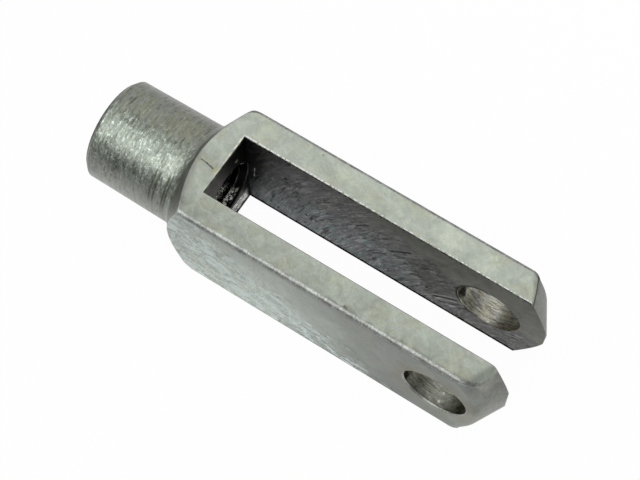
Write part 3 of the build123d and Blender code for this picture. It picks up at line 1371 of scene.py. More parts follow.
class Surface(Enum):
    """The surfaces of the fork head, each with the finish that its tool left."""

    TOP = PaleFlat("pale_flat", (0.595, 0.635, 0.565), 0.6, marks=TOP_MARKS)
    SIDE = BrushedFlat("brushed_flat", (0.42, 0.445, 0.41), 0.5, marks=SIDE_MARKS)
    NECK = TurnedSteel("turned_neck", (0.36, 0.375, 0.34), 0.38)
    SHOULDER = DressedFace("turned_shoulder", (0.29, 0.3, 0.265), 0.42, worn=(0.205, 0.205, 0.18))
    TIP = DressedFace("dressed_tip", (0.39, 0.4, 0.37), 0.45, worn=(0.28, 0.285, 0.26), marks=TIP_MARKS)
    SLOT = MilledWall("milled_slot", (0.3, 0.304, 0.297), 0.48, grazing=0.3, marks=WALL_MARKS)
    SLOT_END = SlotEnd("milled_slot_end", (0.11, 0.105, 0.1), 0.36, grazing=0.5, marks=SLOT_END_MARKS)
    RIM = DressedFace(
        "slot_rim", (0.36, 0.37, 0.34), 0.42, worn=(0.02, 0.02, 0.018), ring_fineness=1.0, patch_fineness=1.1
    )
    PIN_HOLE = DrilledWall("drilled_pin_hole", (0.46, 0.455, 0.42), 0.36, marks=PIN_HOLE_MARKS)
    THREAD = CutThread("tapped_thread", (0.16, 0.16, 0.15), 0.4, grazing=0.15, marks=THREAD_MARKS)
    MOUTH = DressedFace("countersunk_mouth", (0.4, 0.4, 0.37), 0.4, worn=(0.2, 0.2, 0.18), ring_fineness=2.0)
    # painted shade along the far arm's tip edge
    TIP_EDGE = DressedFace("worn_tip_edge", (0.24, 0.25, 0.2), 0.45, worn=(0.17, 0.18, 0.14))
    EDGE = DressedFace("worn_edge", (0.56, 0.585, 0.55), 0.46, worn=(0.26, 0.27, 0.25), ring_fineness=1.6)


# ---------------------------------------------------------------------------------------------
# Solids
# ---------------------------------------------------------------------------------------------

Ring = list[Point]
Outline = list[tuple[float, float]]
Sizes = np.ndarray | float  # one number for all places, or an array with one for each
Skins = Surface | Sequence[Surface]  # one surface all round a ring, or one for each span of it


class Solid:
    """A closed mesh in millimetres whose faces know their surface."""

    def __init__(self, name: str, materials: Mapping[Surface, bpy.types.Material]) -> None:
        """Makes an object with an empty mesh.

        Args:
            name: the object's name.
            materials: the material of each surface.
        """
        self.surfaces = list(materials)
        self.mesh = bpy.data.meshes.new(name)
        for made in materials.values():
            self.mesh.materials.append(made)
        self.object = bpy.data.objects.new(name, self.mesh)
        bpy.context.scene.collection.objects.link(self.object)

    def loft(self, rings: Sequence[Ring], skins: Sequence[Skins], caps: tuple[Surface, Surface]) -> "Solid":
        """Fills the mesh with a skin over rings of points, closed by a flat cap at each end.

        Args:
            rings: loops with the same number of points, in order along the solid.
            skins: the surface, or surfaces, between each ring and the next.
            caps: the surfaces of the first and the last cap.

        Returns:
            This solid.
        """
        shape = bmesh.new()
        loops = [[shape.verts.new(point) for point in ring] for ring in rings]
        around = len(rings[0])
        for lower, upper, skin in zip(loops, loops[1:], skins):
            spans = [skin] * around if isinstance(skin, Surface) else skin
            for here, span in enumerate(spans):
                there = (here + 1) % around
                face = shape.faces.new((lower[here], lower[there], upper[there], upper[here]))
                face.material_index = self.surfaces.index(span)
        for loop, cap in zip((loops[0][::-1], loops[-1]), caps):
            shape.faces.new(loop).material_index = self.surfaces.index(cap)
        bmesh.ops.recalc_face_normals(shape, faces=shape.faces)
        shape.to_mesh(self.mesh)
        shape.free()
        return self

    def cut(self, tool: "Solid") -> None:
        """Cuts a tool's shape away, and deletes the tool.

        Args:
            tool: the other solid.
        """
        step = self.object.modifiers.new(tool.object.name, "BOOLEAN")
        step.solver = "EXACT"
        step.operation = "DIFFERENCE"
        step.object = tool.object
        step.material_mode = "INDEX"
        self.settle()
        bpy.data.objects.remove(tool.object)
        bpy.data.meshes.remove(tool.mesh)

    def settle(self) -> None:
        """Applies the modifiers to the mesh."""
        bpy.context.view_layer.update()
        seen = self.object.evaluated_get(bpy.context.evaluated_depsgraph_get())
        finished = bpy.data.meshes.new_from_object(seen)
        self.object.modifiers.clear()
        name, old = self.mesh.name, self.mesh
        self.object.data = self.mesh = finished
        bpy.data.meshes.remove(old)
        finished.name = name


@dataclass
class RingStack:
    """Rings along the bar, one for each place where its outline changes, and the surfaces between them."""

    section: np.ndarray  # the bar's outline across it, each point a row
    rings: list[Ring] = field(default_factory=list)
    skins: list[Skins] = field(default_factory=list)

    def add(self, x: Sizes, reaches: Sizes, skin: Skins) -> None:
        """Adds a ring.

        Args:
            x: its place along the rod axis.
            reaches: how far it reaches from the rod axis.
            skin: the surface, or surfaces, that run up to it.
        """
        full = np.hypot(*self.section.T)
        self.rings.append(np.column_stack([x + 0 * full, self.section * (reaches / full)[:, None]]).tolist())
        self.skins.append(skin)


def arc(centre: Sequence[float], radius: float, start: float, end: float, spans: int) -> Outline:
    """Points along an arc.

    Args:
        centre: the arc's centre.
        radius: its radius.
        start: its first angle, in radians.
        end: its last angle.
        spans: how many spans it has.

    Returns:
        The points at both ends of every span.
    """
    turns = [start + (end - start) * k / spans for k in range(spans + 1)]
    return [(centre[0] + radius * math.cos(a), centre[1] + radius * math.sin(a)) for a in turns]


def circle(centre: Sequence[float], radius: float, corners: int) -> Outline:
    """Points round a circle, each once."""
    return arc(centre, radius, 0.0, TAU, corners)[:-1]


def steps(start: float, end: float, count: int) -> np.ndarray:
    """Evenly spaced numbers, the first one step past start and the last one at end."""
    return np.linspace(start, end, count + 1)[1:]


@dataclass(frozen=True)
class Field:
    """How far places lie outside a face, less than 0 inside it, and the way in which that grows."""

    distance: np.ndarray
    slope: np.ndarray

    def rounded_with(self, other: "Field", radius: Sizes) -> "Field":
        """The field of what lies inside both faces, with the edge between them rounded.

        Args:
            other: the other face's field at the same places.
            radius: of the rounding.

        Returns:
            The new field.
        """
        nearly_flat = 0.98  # keeps faces that all but run on into each other apart
        lean = np.clip((self.slope * other.slope).sum(axis=1), -nearly_flat, nearly_flat)
        first, second = self.distance + radius, other.distance + radius
        shares = np.stack([first - lean * second, second - lean * first]) / (1 - lean**2)
        away = shares[0][:, None] * self.slope + shares[1][:, None] * other.slope
        reach = np.linalg.norm(away, axis=1)
        at_edge = (shares > 0).all(axis=0)
        outer = np.where((first > second)[:, None], self.slope, other.slope)
        distance = np.where(at_edge, reach, np.maximum(first, second)) - radius
        slope = np.where(at_edge[:, None], away / np.maximum(reach, TINY)[:, None], outer)
        return Field(distance, slope)


def halved(
    low: np.ndarray, high: np.ndarray, is_past: Callable[[np.ndarray], np.ndarray], times: int = 36
) -> np.ndarray:
    """Closes in on a border by halving.

    Args:
        low: numbers before the border.
        high: numbers past it.
        is_past: says which of an array of numbers are past it.
        times: how often the gap is halved.

    Returns:
        The border, for each pair of low and high.
    """
    for _ in range(times):
        middle = (low + high) / 2
        past = is_past(middle)
        low, high = np.where(past, low, middle), np.where(past, middle, high)
    return low


# ---------------------------------------------------------------------------------------------
# The fork head
# ---------------------------------------------------------------------------------------------


def at(x: np.ndarray, across: np.ndarray) -> np.ndarray:
    """Places, each a row, from their X and their Y and Z."""
    return np.column_stack([x, across])


def mount(name: str) -> dict[str, Any]:
    """The record's mount of that name."""
    return next(entry for entry in frame["record"]["mounts"] if entry["name"] == name)


@dataclass
class ForkHead:
    """The whole fork head as one mesh, shaped by the tools that made it. Sizes in millimetres."""

    materials: Mapping[Surface, bpy.types.Material]

    # from the frame
    tip_x: float = cad_box[1][0] / MM
    neck_end_x: float = cad_box[0][0] / MM
    bar_half: float = cad_box[1][1] / MM
    slot_half: float = mount("eye_face_pos_y")["pos_m"][1] / MM
    pin_radius: float = mount("pin_bore")["dims"]["r_mm"]
    pin_wall: float = mount("pin_bore")["dims"]["length_mm"]
    drill_radius: float = mount("rod_thread")["dims"]["r_mm"]
    drill_length: float = mount("rod_thread")["dims"]["length_mm"]
    drill_centre_x: float = mount("rod_thread")["pos_m"][0] / MM

    # the bar and the neck
    bar_edge_radius: float = 0.6
    worn_edge_radius: float = 0.85  # along the near upper edge
    neck_radius: float = 9.85  # at its end
    neck_taper: float = 0.2
    neck_end_chamfer: float = 0.9
    neck_root_radius: float = 2.2

    # the shoulder
    shoulder_to_slot_floor: float = 6.2
    shoulder_cone_angle: float = math.radians(33.0)  # from the end plane
    shoulder_skim: float = 0.57  # off the square's corners
    shoulder_corner_radius: float = 2.6
    shoulder_run_out: float = 4.6
    spared_corner_radius: float = 1.6
    shoulder_edge_radius: float = 0.25
    shoulder_edge_band: tuple[float, float] = (0.2, 0.35)  # before and past its edge, with close rings

    # the arms' tips
    tip_flat_radius: float = 7.1
    tip_cone_angle: float = math.radians(30.0)
    far_tip_edge_radius: float = 0.55
    near_tip_edge_radius: float = 1.5
    worn_corner_radii: tuple[float, float] = (2.2, 1.4)  # more at the near and the far arm's upper corner
    lower_corner_share: float = 0.45  # of that at their lower ones
    worn_corner_reach: float = 4.0
    tip_edge_band: tuple[float, float] = (2.4, 1.2)  # before and past their edge, with close rings
    dark_edge_width: float = 0.4  # along the far arm's tip
    dressed_tip_rise: float = 2.2

    # what the slot cutter, the pin drill and its countersinks left
    slot_rim_radius: float = 0.3
    slot_rim_turn: float = TAU / 6
    pin_inner_flare: float = 0.12
    pin_inner_flare_start: float = 0.08  # how deep in the arm it begins
    pin_inner_flare_run_on: float = 0.04  # how far it runs on past the arm
    near_rim_radius: float = 6.32
    near_rim_offset: tuple[float, float] = (-0.05, -0.06)
    near_rim_slope: float = math.tan(math.radians(30.0))
    near_rim_depths: tuple[float, ...] = (-0.5, 0.0, 0.25, 0.5, 0.75, 1.4)

    # the M12 thread
    thread_radius: float = 6.0
    pitch: float = 1.75
    thread_start: float = 0.3  # of a turn
    flank_angle: float = math.radians(30.0)  # from square to the rod axis
    mouth_share: float = 0.8  # of the countersink's depth that is bare steel
    bore_mouth_run_out: float = 1.4

    # how finely round things are divided, and how far the cutting tools reach past the body
    flat_spans: int = 64
    edge_spans: int = 8
    neck_row: float = 0.25
    root_spans: int = 10
    shoulder_rows: tuple[int, int, int] = (16, 3, 5)  # up to its edge, and before and past it
    flat_rows: tuple[float, ...] = (0.002, 0.1, 0.25, 0.4, 0.55, 0.7, 0.85, 0.95, 0.998, 1.0)
    tip_rows: tuple[int, int, int] = (14, 8, 8)  # before and past the edge, and on up the cones
    rim_spans: int = 5
    hole_corners: int = 160
    thread_corners: int = 120
    thread_rows: int = 14  # in a pitch
    slot_spare: float = 2.0
    pin_spare: float = 0.5
    tap_spare: float = 0.6

    # where vertices are one, and where an edge stays sharp
    weld: float = 0.002
    crease_angle: float = math.radians(28.0)

    @property
    def mouth_depth(self) -> float:
        """How deep the countersinks of the tapped bore are, at 45 degrees."""
        return (self.drill_centre_x - self.neck_end_x) - self.drill_length / 2

    @property
    def slot_floor_x(self) -> float:
        """Where the slot ends."""
        return self.neck_end_x + self.drill_length + 2 * self.mouth_depth

    @property
    def cone_start_x(self) -> float:
        """Where the neck's outline meets the shoulder's cone."""
        return self.slot_floor_x - self.shoulder_to_slot_floor

    @property
    def cone_start_radius(self) -> float:
        """How far from the rod axis they meet."""
        return self.neck_radius + self.neck_taper

    @property
    def corner_reach(self) -> float:
        """From the rod axis to the square's corners."""
        return math.hypot(self.bar_half, self.bar_half)

    def build(self) -> bpy.types.Object:
        """Makes the body.

        Returns:
            Its object, in metres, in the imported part's place.
        """
        body = self.blank()
        for tool in (self.slot_cutter, self.pin_drill, self.near_countersink, self.tap):
            body.cut(tool())
        self.break_edges(body)
        body.mesh.transform(Matrix.Scale(MM, 4))
        return body.object

    def bar_section(self) -> tuple[np.ndarray, list[Surface]]:
        """The square bar's outline with its rounded corners.

        Returns:
            Its points across the bar, and the surface of the span from each to the next.
        """
        points: Outline = []
        spans: list[Surface] = []
        corners: list[Outline] = []
        for quarter, (side, up) in enumerate(((1, 1), (-1, 1), (-1, -1), (1, -1))):
            radius = float(self.edge_radii(np.array([[side, up]]))[0])
            inner = self.bar_half - radius
            start = quarter * TAU / 4
            corners.append(arc((side * inner, up * inner), radius, start, start + TAU / 4, self.edge_spans))
        flats = (Surface.TOP, Surface.SIDE) * 2
        for corner, following, flat in zip(corners, corners[1:] + corners[:1], flats):
            points += corner
            spans += [Surface.EDGE] * self.edge_spans
            start, end = Vector(corner[-1]), Vector(following[0])
            points += [tuple(start.lerp(end, k / self.flat_spans)) for k in range(1, self.flat_spans)]
            spans += [flat] * self.flat_spans
        return np.array(points), spans

    def blank(self) -> Solid:
        """The bar as the lathe left it: neck, shoulder, flats and tip cones, with tumbled edges.

        Returns:
            The blank, ready for the cutting tools.
        """
        section, flats = self.bar_section()
        stack = RingStack(section)
        neck, root = self.neck_outline()
        for x, radius in neck + root:
            stack.add(x, np.full(len(section), radius), Surface.NECK)
        flats_start = self.add_shoulder(stack, flats, root[-1][0])
        self.add_tips(stack, flats, flats_start)
        return Solid("blank", self.materials).loft(stack.rings, stack.skins[1:], (Surface.NECK, Surface.TIP))

    def add_shoulder(self, stack: RingStack, flats: list[Surface], start_x: float) -> np.ndarray:
        """Adds the shoulder, which runs out into the flats further along towards the bar's corners.

        Args:
            stack: the blank's rings so far.
            flats: the surface of each span of the bar's outline.
            start_x: where the shoulder starts.

        Returns:
            Where the flats start, for each point of the bar's outline.
        """
        section = stack.section
        start = np.full(len(section), start_x)
        middle = np.full(len(section), (self.neck_end_x + self.tip_x) / 2)
        runs_out = halved(start, middle, lambda x: self.shoulder(at(x, section)).distance < 0)
        before, after = self.shoulder_edge_band
        turned = [Surface.EDGE if flat is Surface.EDGE else Surface.SHOULDER for flat in flats]

        def add(x: np.ndarray, skin: Skins) -> None:
            """Adds one ring."""
            reaches = self.reach_within(x, section, self.shoulder, self.shoulder_edge_radius)
            stack.add(x, reaches, skin)

        rows_up, rows_before, rows_after = self.shoulder_rows
        for share in steps(0, 1, rows_up):
            add(start + (runs_out - before - start) * share, Surface.SHOULDER)
        for past in steps(-before, 0, rows_before):
            add(runs_out + past, turned)
        for past in steps(0, after, rows_after):
            add(runs_out + past, flats)
        return runs_out + after

    def add_tips(self, stack: RingStack, flats: list[Surface], start: np.ndarray) -> None:
        """Adds the flats, and goes over the tumbled edge onto the tip cones.

        Args:
            stack: the blank's rings so far.
            flats: the surface of each span of the bar's outline.
            start: where the flats start, for each point of the bar's outline.
        """
        section = stack.section
        middle = np.full(len(section), (self.neck_end_x + self.tip_x) / 2)
        tip = np.full(len(section), self.tip_x)
        edge = halved(middle, tip, lambda x: self.tips(at(x, section)).distance > 0)
        before, after = self.tip_edge_band
        radii = self.tip_edge_radii(section)

        def add(x: np.ndarray, skin: Skins) -> None:
            """Adds one ring."""
            stack.add(x, self.reach_within(x, section, self.tips, radii), skin)

        for share in self.flat_rows:
            stack.add(start + (edge - before - start) * share, np.hypot(*section.T), flats)
        rows_before, rows_after, rows_on = self.tip_rows
        for past in steps(-before, 0, rows_before):
            add(edge + past, flats)
        on_near = ((section + np.roll(section, -1, axis=0)) / 2)[:, 0] < 0
        for past in steps(0, after, rows_after):
            far = Surface.TIP_EDGE if past < self.dark_edge_width else Surface.TIP
            add(edge + past, [flat if near else far for flat, near in zip(flats, on_near)])
        for share in steps(0, 1, rows_on):
            add(edge + after + (tip - edge - after) * share, Surface.TIP)

    def neck_outline(self) -> tuple[Outline, Outline]:
        """The neck's outline and its rounded root, as places along the rod axis with their radius.

        Returns:
            The points along the neck, and those round the root up to the shoulder's cone.
        """
        chamfer_x = self.neck_end_x + self.neck_end_chamfer
        rise = math.atan2(self.neck_taper, self.cone_start_x - chamfer_x)
        steep = TAU / 4 - self.shoulder_cone_angle
        tangent = self.neck_root_radius * math.tan((steep - rise) / 2)
        corner = Vector((self.cone_start_x, self.cone_start_radius))
        along = Vector((math.cos(rise), math.sin(rise)))
        begins = corner - along * tangent
        centre = begins + Vector((-along.y, along.x)) * self.neck_root_radius
        root = arc(centre, self.neck_root_radius, rise - TAU / 4, steep - TAU / 4, self.root_spans)
        rows = round((begins.x - chamfer_x) / self.neck_row)
        neck = [(self.neck_end_x, self.neck_radius - self.neck_end_chamfer)]
        neck += [tuple(Vector((chamfer_x, self.neck_radius)).lerp(begins, k / rows)) for k in range(rows)]
        return neck, root

    def bar_skin(self, places: np.ndarray) -> Field:
        """The bar's flats and rounded long edges as a field.

        Args:
            places: places, each a row.

        Returns:
            The field at the places.
        """
        radius = self.edge_radii(places[:, 1:])
        past = np.abs(places[:, 1:]) - (self.bar_half - radius)[:, None]
        most = past.max(axis=1)
        corner = np.hypot(*np.maximum(past, 0).T)
        outward = np.maximum(past, 0) / np.maximum(corner, TINY)[:, None]
        outward = np.where((corner > TINY)[:, None], outward, past == most[:, None]) * np.sign(places[:, 1:])
        distance = corner + np.minimum(most, 0) - radius
        return Field(distance, np.column_stack([0 * distance, outward]))

    @staticmethod
    def turned_face(
        places: np.ndarray, through: tuple[Sizes, Sizes], outward: tuple[float, float], axis_z: Sizes = 0.0
    ) -> Field:
        """A straight-sided turned face as a field.

        Args:
            places: places, each a row.
            through: a point of its outline: its place along X and its distance from the axis.
            outward: the direction away from the face, along X and away from the axis.
            axis_z: how high the axis lies that the face was turned about.

        Returns:
            The field at the places.
        """
        x = places[:, 0]
        across = places[:, 1:] - np.column_stack([0 * x, axis_z + 0 * x])
        reach = np.hypot(*across.T)
        distance = (x - through[0]) * outward[0] + (reach - through[1]) * outward[1]
        slope = np.column_stack([outward[0] + 0 * reach, across * (outward[1] / reach)[:, None]])
        return Field(distance, slope)

    def shoulder(self, places: np.ndarray) -> Field:
        """The shoulder's cone and its rounded edge, which runs out along the bar's corners, as a field.

        Args:
            places: places, each a row.

        Returns:
            The field at the places.
        """
        spared = self.is_spared(places[:, 1:])
        angle = self.shoulder_cone_angle
        start = (self.cone_start_x, self.cone_start_radius)
        reach = self.corner_reach - self.shoulder_skim * ~spared
        end = (start[0] + (reach - start[1]) * math.tan(angle), reach)
        run_out = Vector((self.shoulder_run_out, self.shoulder_skim)).normalized()
        cone = self.turned_face(places, start, (-math.cos(angle), math.sin(angle)))
        skim = self.turned_face(places, end, (-run_out.y, run_out.x))
        radius = np.where(spared, self.spared_corner_radius, self.shoulder_corner_radius)
        return cone.rounded_with(skim, radius)

    @staticmethod
    def is_spared(across: np.ndarray) -> np.ndarray:
        """Whether points across the bar are in the quarter whose corner the shoulder's rounding spared."""
        return (across[:, 0] < 0) & (across[:, 1] > 0)

    def edge_radii(self, across: np.ndarray) -> np.ndarray:
        """How round the bar's long edges are, for points across it: more along the near upper one."""
        return np.where(self.is_spared(across), self.worn_edge_radius, self.bar_edge_radius)

    def tip_edge_radii(self, section: np.ndarray) -> np.ndarray:
        """How round the tips' edges are: more on the near arm, most at the upper corners.

        Args:
            section: the bar's outline, which gives the directions.

        Returns:
            The radius in each direction.
        """
        gap = np.hypot(*(np.abs(section) - self.bar_half).T)
        is_near = section[:, 0] < 0
        worn = np.where(is_near, *self.worn_corner_radii) * np.exp(-((gap / self.worn_corner_reach) ** 2))
        worn = np.where(section[:, 1] > 0, worn, worn * self.lower_corner_share)
        return np.where(is_near, self.near_tip_edge_radius, self.far_tip_edge_radius) + worn

    def tips(self, places: np.ndarray) -> Field:
        """The cones on the two arms' tips, the +Y one dressed once more about a raised axis, as a field.

        Args:
            places: places, each a row.

        Returns:
            The field at the places.
        """
        raised = (places[:, 1] > 0) & (places[:, 2] < self.dressed_tip_rise / 2)
        through = (self.tip_x, self.tip_flat_radius)
        outward = (math.cos(self.tip_cone_angle), math.sin(self.tip_cone_angle))
        return self.turned_face(places, through, outward, raised * self.dressed_tip_rise)

    def reach_within(
        self, x: np.ndarray, section: np.ndarray, turned: Callable[[np.ndarray], Field], radius: Sizes
    ) -> np.ndarray:
        """How far the blank reaches from the rod axis, inside both the bar's skin and a turned face.

        Args:
            x: a place along the rod axis for each direction.
            section: the bar's outline, which gives the directions.
            turned: the turned face's field.
            radius: of the rounding between the two.

        Returns:
            The reach in each direction.
        """

        def outside(share: np.ndarray) -> np.ndarray:
            """Which of the shares of the bar's reach lie outside."""
            places = at(x, section * share[:, None])
            return self.bar_skin(places).rounded_with(turned(places), radius).distance > 0

        least, most = 0.1, 1.02  # shares of the bar's reach that the blank's is sure to lie between
        full = np.ones(len(section))
        return np.hypot(*section.T) * halved(least * full, most * full, outside)

    def slot_cutter(self) -> Solid:
        """The cutter for the slot.

        Returns:
            The cutter, flared to round the slot's rims a little at the top and the bottom.
        """
        rim, turn = self.slot_rim_radius, self.slot_rim_turn
        start = -TAU / 4
        upper = arc((self.bar_half - rim * math.sin(turn), rim), rim, start, start + turn, self.rim_spans)
        z, spread = upper[-1]
        upper.append((z + math.cos(turn), spread + math.sin(turn)))
        far = self.tip_x + self.slot_spare
        rings = []
        for z, spread in [(-z, spread) for z, spread in reversed(upper)] + upper:
            floor, half = self.slot_floor_x - spread, self.slot_half + spread
            rings.append([(floor, half, z), (floor, -half, z), (far, -half, z), (far, half, z)])
        walls = [Surface.SLOT_END, Surface.SLOT, Surface.SLOT, Surface.SLOT]
        skins = [walls] * len(upper) + [Surface.RIM] * (len(upper) - 1)
        return Solid("slot_cutter", self.materials).loft(rings, skins, (Surface.RIM, Surface.RIM))

    def pin_drill(self) -> Solid:
        """The drill for the pin hole.

        Returns:
            The drill, flared at both faces of each arm to break the rims.
        """
        outer_flare = self.pin_radius + self.bar_half - self.pin_wall / 2
        profile = [
            (self.bar_half + self.pin_spare, outer_flare + self.pin_spare),
            (self.bar_half, outer_flare),
            (self.pin_wall / 2, self.pin_radius),
            (self.slot_half + self.pin_inner_flare_start, self.pin_radius),
            (self.slot_half - self.pin_inner_flare_run_on, self.pin_radius + self.pin_inner_flare),
        ]
        profile += [(-y, radius) for y, radius in reversed(profile)]
        rings = [[(x, y, z) for x, z in circle((0, 0), radius, self.hole_corners)] for y, radius in profile]
        skins = [Surface.EDGE, Surface.EDGE, Surface.PIN_HOLE, Surface.PIN_HOLE, Surface.SLOT]
        skins += [Surface.PIN_HOLE, Surface.PIN_HOLE, Surface.EDGE, Surface.EDGE]
        return Solid("pin_drill", self.materials).loft(rings, skins, (Surface.EDGE, Surface.EDGE))

    def near_countersink(self) -> Solid:
        """The countersink of the near arm's outer rim.

        Returns:
            The countersink, a little off the pin hole's centre.
        """
        rings = []
        for depth in self.near_rim_depths:
            radius = self.near_rim_radius - depth * self.near_rim_slope
            rim = circle(self.near_rim_offset, radius, self.hole_corners)
            rings.append([(x, depth - self.bar_half, z) for x, z in rim])
        skins = [Surface.EDGE] * (len(rings) - 1)
        return Solid("near_countersink", self.materials).loft(rings, skins, (Surface.EDGE, Surface.EDGE))

    def thread_reach(self, x: float, turn: float) -> float:
        """How far the thread's wall is from the rod axis.

        Args:
            x: the place along the rod axis.
            turn: the angle about it, in turns.

        Returns:
            The radius there, with the countersinks at both ends.
        """
        phase = (x / self.pitch - turn + self.thread_start) % 1.0
        past_root = abs(phase - 0.5) * self.pitch - self.pitch / 16  # from the edge of the flat at the root
        wall = self.thread_radius - max(past_root, 0.0) / math.tan(self.flank_angle)
        mouth = self.drill_radius + self.mouth_depth
        past_mouth = min(x - self.neck_end_x, self.slot_floor_x - x)
        return max(wall, self.drill_radius, mouth - max(past_mouth, 0.0))

    def tap(self) -> Solid:
        """The tap.

        Returns:
            A right-hand thread of the stated pitch with a countersink at each end.
        """
        start, end = self.neck_end_x - self.tap_spare, self.slot_floor_x
        rows = round((end - start) / self.pitch * self.thread_rows)
        spots = [start + (end - start) * k / rows for k in range(rows + 1)] + [end + self.bore_mouth_run_out]
        turns = [k / self.thread_corners for k in range(self.thread_corners)]
        rings = []
        for x in spots:
            reaches = [self.thread_reach(x, turn) for turn in turns]
            rings.append([(x, r * math.cos(t * TAU), r * math.sin(t * TAU)) for r, t in zip(reaches, turns)])
        mouth_x = self.neck_end_x + self.mouth_depth * self.mouth_share
        skins = [Surface.MOUTH if x < mouth_x else Surface.THREAD for x in spots[:-2]] + [Surface.SLOT]
        return Solid("tap", self.materials).loft(rings, skins, (Surface.MOUTH, Surface.EDGE))

    def break_edges(self, body: Solid) -> None:
        """Shades the body smooth, with creases where surfaces meet.

        Args:
            body: the body with everything cut.
        """
        shape = bmesh.new()
        shape.from_mesh(body.mesh)
        bmesh.ops.remove_doubles(shape, verts=shape.verts, dist=self.weld)
        bmesh.ops.dissolve_degenerate(shape, edges=shape.edges, dist=self.weld)
        open_edges = [edge for edge in shape.edges if len(edge.link_faces) != 2]
        log.info("body: %d faces, %d edges not shared by two faces", len(shape.faces), len(open_edges))
        for face in shape.faces:
            face.smooth = True
        for edge in shape.edges:
            edge.smooth = edge.calc_face_angle(0.0) < self.crease_angle
        shape.to_mesh(body.mesh)
        shape.free()


# ---------------------------------------------------------------------------------------------
# Studio
# ---------------------------------------------------------------------------------------------

WHITE = (1.0, 1.0, 1.0)


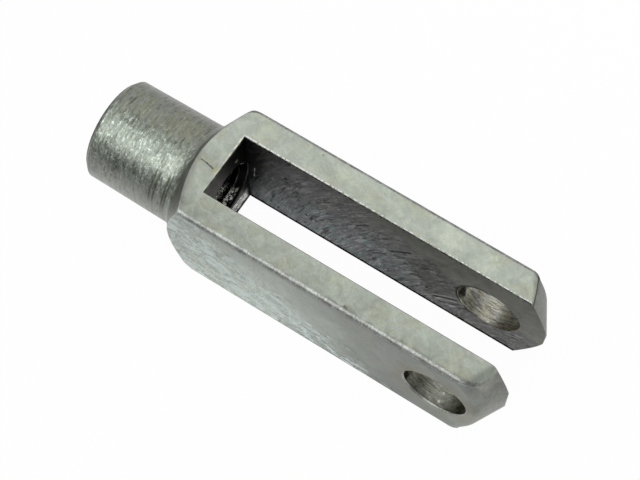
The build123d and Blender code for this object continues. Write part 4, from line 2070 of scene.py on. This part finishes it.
@dataclass
class Studio:
    """A white sheet that dims away from the part, a wide softbox, a dim room and the camera.

    Lengths are in metres, but for the camera's, which are in millimetres.
    """

    bench_z: float = cad_box[0][2]
    bench_half: float = 3.0
    sheet_white: float = 0.95
    sheet_front: float = 0.3  # how pale it is far in front of the part
    sheet_back: float = 0.62  # and far behind it
    sheet_turn: Span = (-0.03, 0.06)  # along Y, from the one to the other
    half_way: float = 0.03  # from the part to where it is half as much paler
    seen_share: float = 0.97  # of plain white in what the camera sees beside the part
    mirrored_share: float = 0.7  # of plain white in what the steel mirrors there

    room_front: float = 0.3
    room_back: float = 0.6
    room_right: float = 0.3
    room_overhead: float = 0.66
    back_turn: Span = (-0.9, 0.7)
    right_turn: Span = (0.3, 0.75)
    overhead_turn: Span = (0.3, 0.85)
    dark_corner: Point = (0.64, 0.62, 0.455)  # the direction to it
    dark_corner_turn: Span = (0.82, 0.95)
    dark_corner_depth: float = 0.4

    key_direction: Point = (-0.23, -0.5, 0.85)
    key_distance: float = 0.7
    key_size: float = 0.72
    key_radiance: float = 1.28

    camera_aim: Point = (-31.66, 1.38, 0.0)
    camera_azimuth: float = 33.01  # degrees from -Y towards +X
    camera_elevation: float = 66.51
    camera_distance: float = 294.34
    camera_roll: float = 0.12
    camera_lens: float = 93.74
    camera_sensor: float = 36.0
    camera_clip: float = 10.0

    def build(self) -> None:
        """Makes the bench, the lights and the camera."""
        self.bench()
        self.room()
        self.key()
        self.camera()
        bpy.context.scene.view_settings.view_transform = "Standard"

    def bench(self) -> None:
        """The sheet under the part, with the part's shadow on it, and white to the camera further out."""
        mesh = bpy.data.meshes.new("bench")
        half = self.bench_half
        corners = [(-half, -half, 0), (half, -half, 0), (half, half, 0), (-half, half, 0)]
        mesh.from_pydata(corners, [], [(0, 1, 2, 3)])
        made = bpy.data.objects.new("bench", mesh)
        made.location.z = self.bench_z
        bpy.context.scene.collection.objects.link(made)
        mesh.materials.append(self.paper())

    def paper(self) -> bpy.types.Material:
        """The sheet's paper.

        Returns:
            A matt material, palest beside the part, that the camera sees as white further out.
        """
        made = bpy.data.materials.new("bench_paper")
        made.use_nodes = True
        desk = NodeDesk(made.node_tree)
        x, y, _ = desk.axes(desk.node("ShaderNodeTexCoord").outputs["Object"])
        near_end, far_end = cad_box[0][0], cad_box[1][0]
        past_ends = (abs(x - (near_end + far_end) / 2) - (far_end - near_end) / 2).at_least(0.0)
        beside = (abs(y) - cad_box[1][1]).at_least(0.0)
        reach = (past_ends * past_ends + beside * beside) ** 0.5
        near = self.half_way / (reach + self.half_way)
        far_level = y.ramp(*self.sheet_turn) * (self.sheet_back - self.sheet_front) + self.sheet_front
        level = far_level + (self.sheet_white - far_level) * near
        matt = {"Base Color": desk.joined(level, level, level), "Roughness": 1.0, "Specular IOR Level": 0.0}
        paint = desk.link("ShaderNodeBsdfPrincipled", None, matt)
        glow = desk.link("ShaderNodeEmission", None, {"Color": WHITE, "Strength": 1.0})
        seen = desk.ray("Camera") * (1.0 - near * (1 - self.seen_share))
        mirrored = (desk.ray("Glossy") + desk.ray("Transmission")) * near * near * self.mirrored_share
        mixed = desk.link("ShaderNodeMixShader", None, {0: seen + mirrored, 1: paint, 2: glow})
        desk.node("ShaderNodeOutputMaterial", None, {"Surface": mixed})
        return made

    def room(self) -> None:
        """The room: dimmer towards the front, the right and the horizon, and white to the camera."""
        made = bpy.data.worlds.new("room")
        bpy.context.scene.world = made
        made.use_nodes = True
        desk = NodeDesk(made.node_tree)
        direction = desk.node("ShaderNodeTexCoord").outputs["Generated"]
        right, back, up = desk.axes(direction)
        horizon = back.ramp(*self.back_turn) * (self.room_back - self.room_front) + self.room_front
        horizon = horizon + (self.room_right - horizon) * right.ramp(*self.right_turn)
        level = horizon + (self.room_overhead - horizon) * up.ramp(*self.overhead_turn)
        toward_corner = desk.dot(direction, self.dark_corner).ramp(*self.dark_corner_turn)
        level = level * (1.0 - toward_corner * self.dark_corner_depth)
        seen = desk.ray("Camera") + desk.ray("Transmission")
        strength = level + (1.0 - level) * seen
        glow = desk.link("ShaderNodeBackground", None, {"Color": WHITE, "Strength": strength})
        desk.node("ShaderNodeOutputWorld", None, {"Surface": glow})

    def key(self) -> None:
        """The softbox, high on the camera's side."""
        lamp = bpy.data.lights.new("key_softbox", "AREA")
        lamp.shape = "DISK"
        lamp.size = self.key_size
        lamp.energy = self.key_radiance * math.pi * math.pi * (self.key_size / 2) ** 2
        made = bpy.data.objects.new("key_softbox", lamp)
        direction = Vector(self.key_direction).normalized()
        made.location = direction * self.key_distance
        made.rotation_euler = direction.to_track_quat("Z", "Y").to_euler()
        bpy.context.scene.collection.objects.link(made)

    def camera(self) -> None:
        """The camera, looking down on the part."""
        lens = bpy.data.cameras.new("camera")
        lens.sensor_width = self.camera_sensor
        lens.lens = self.camera_lens
        lens.clip_start = self.camera_clip * MM
        made = bpy.data.objects.new("camera", lens)
        azimuth, elevation = math.radians(self.camera_azimuth), math.radians(self.camera_elevation)
        level = Vector((math.sin(azimuth), -math.cos(azimuth), 0.0)) * math.cos(elevation)
        away = level + Vector((0.0, 0.0, math.sin(elevation)))
        made.location = (Vector(self.camera_aim) + away * self.camera_distance) * MM
        look = away.to_track_quat("Z", "Y").to_matrix().to_4x4()
        roll = Matrix.Rotation(math.radians(-self.camera_roll), 4, "Z")
        made.rotation_euler = (look @ roll).to_euler()
        bpy.context.scene.collection.objects.link(made)
        bpy.context.scene.camera = made


def main() -> None:
    """Builds the studio and the fork head."""
    logging.basicConfig(level=logging.INFO, format="%(name)s: %(message)s")
    Studio().build()
    log.info("studio: bench, world, key and camera")
    materials = {surface: surface.value.material() for surface in Surface}
    body = ForkHead(materials).build()
    body.name = "machined_fork_head"
    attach(body, "root")
    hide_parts("clevis_body")
    log.info("%s: %d faces", body.name, len(body.data.polygons))


if __name__ == "__main__":
    main()
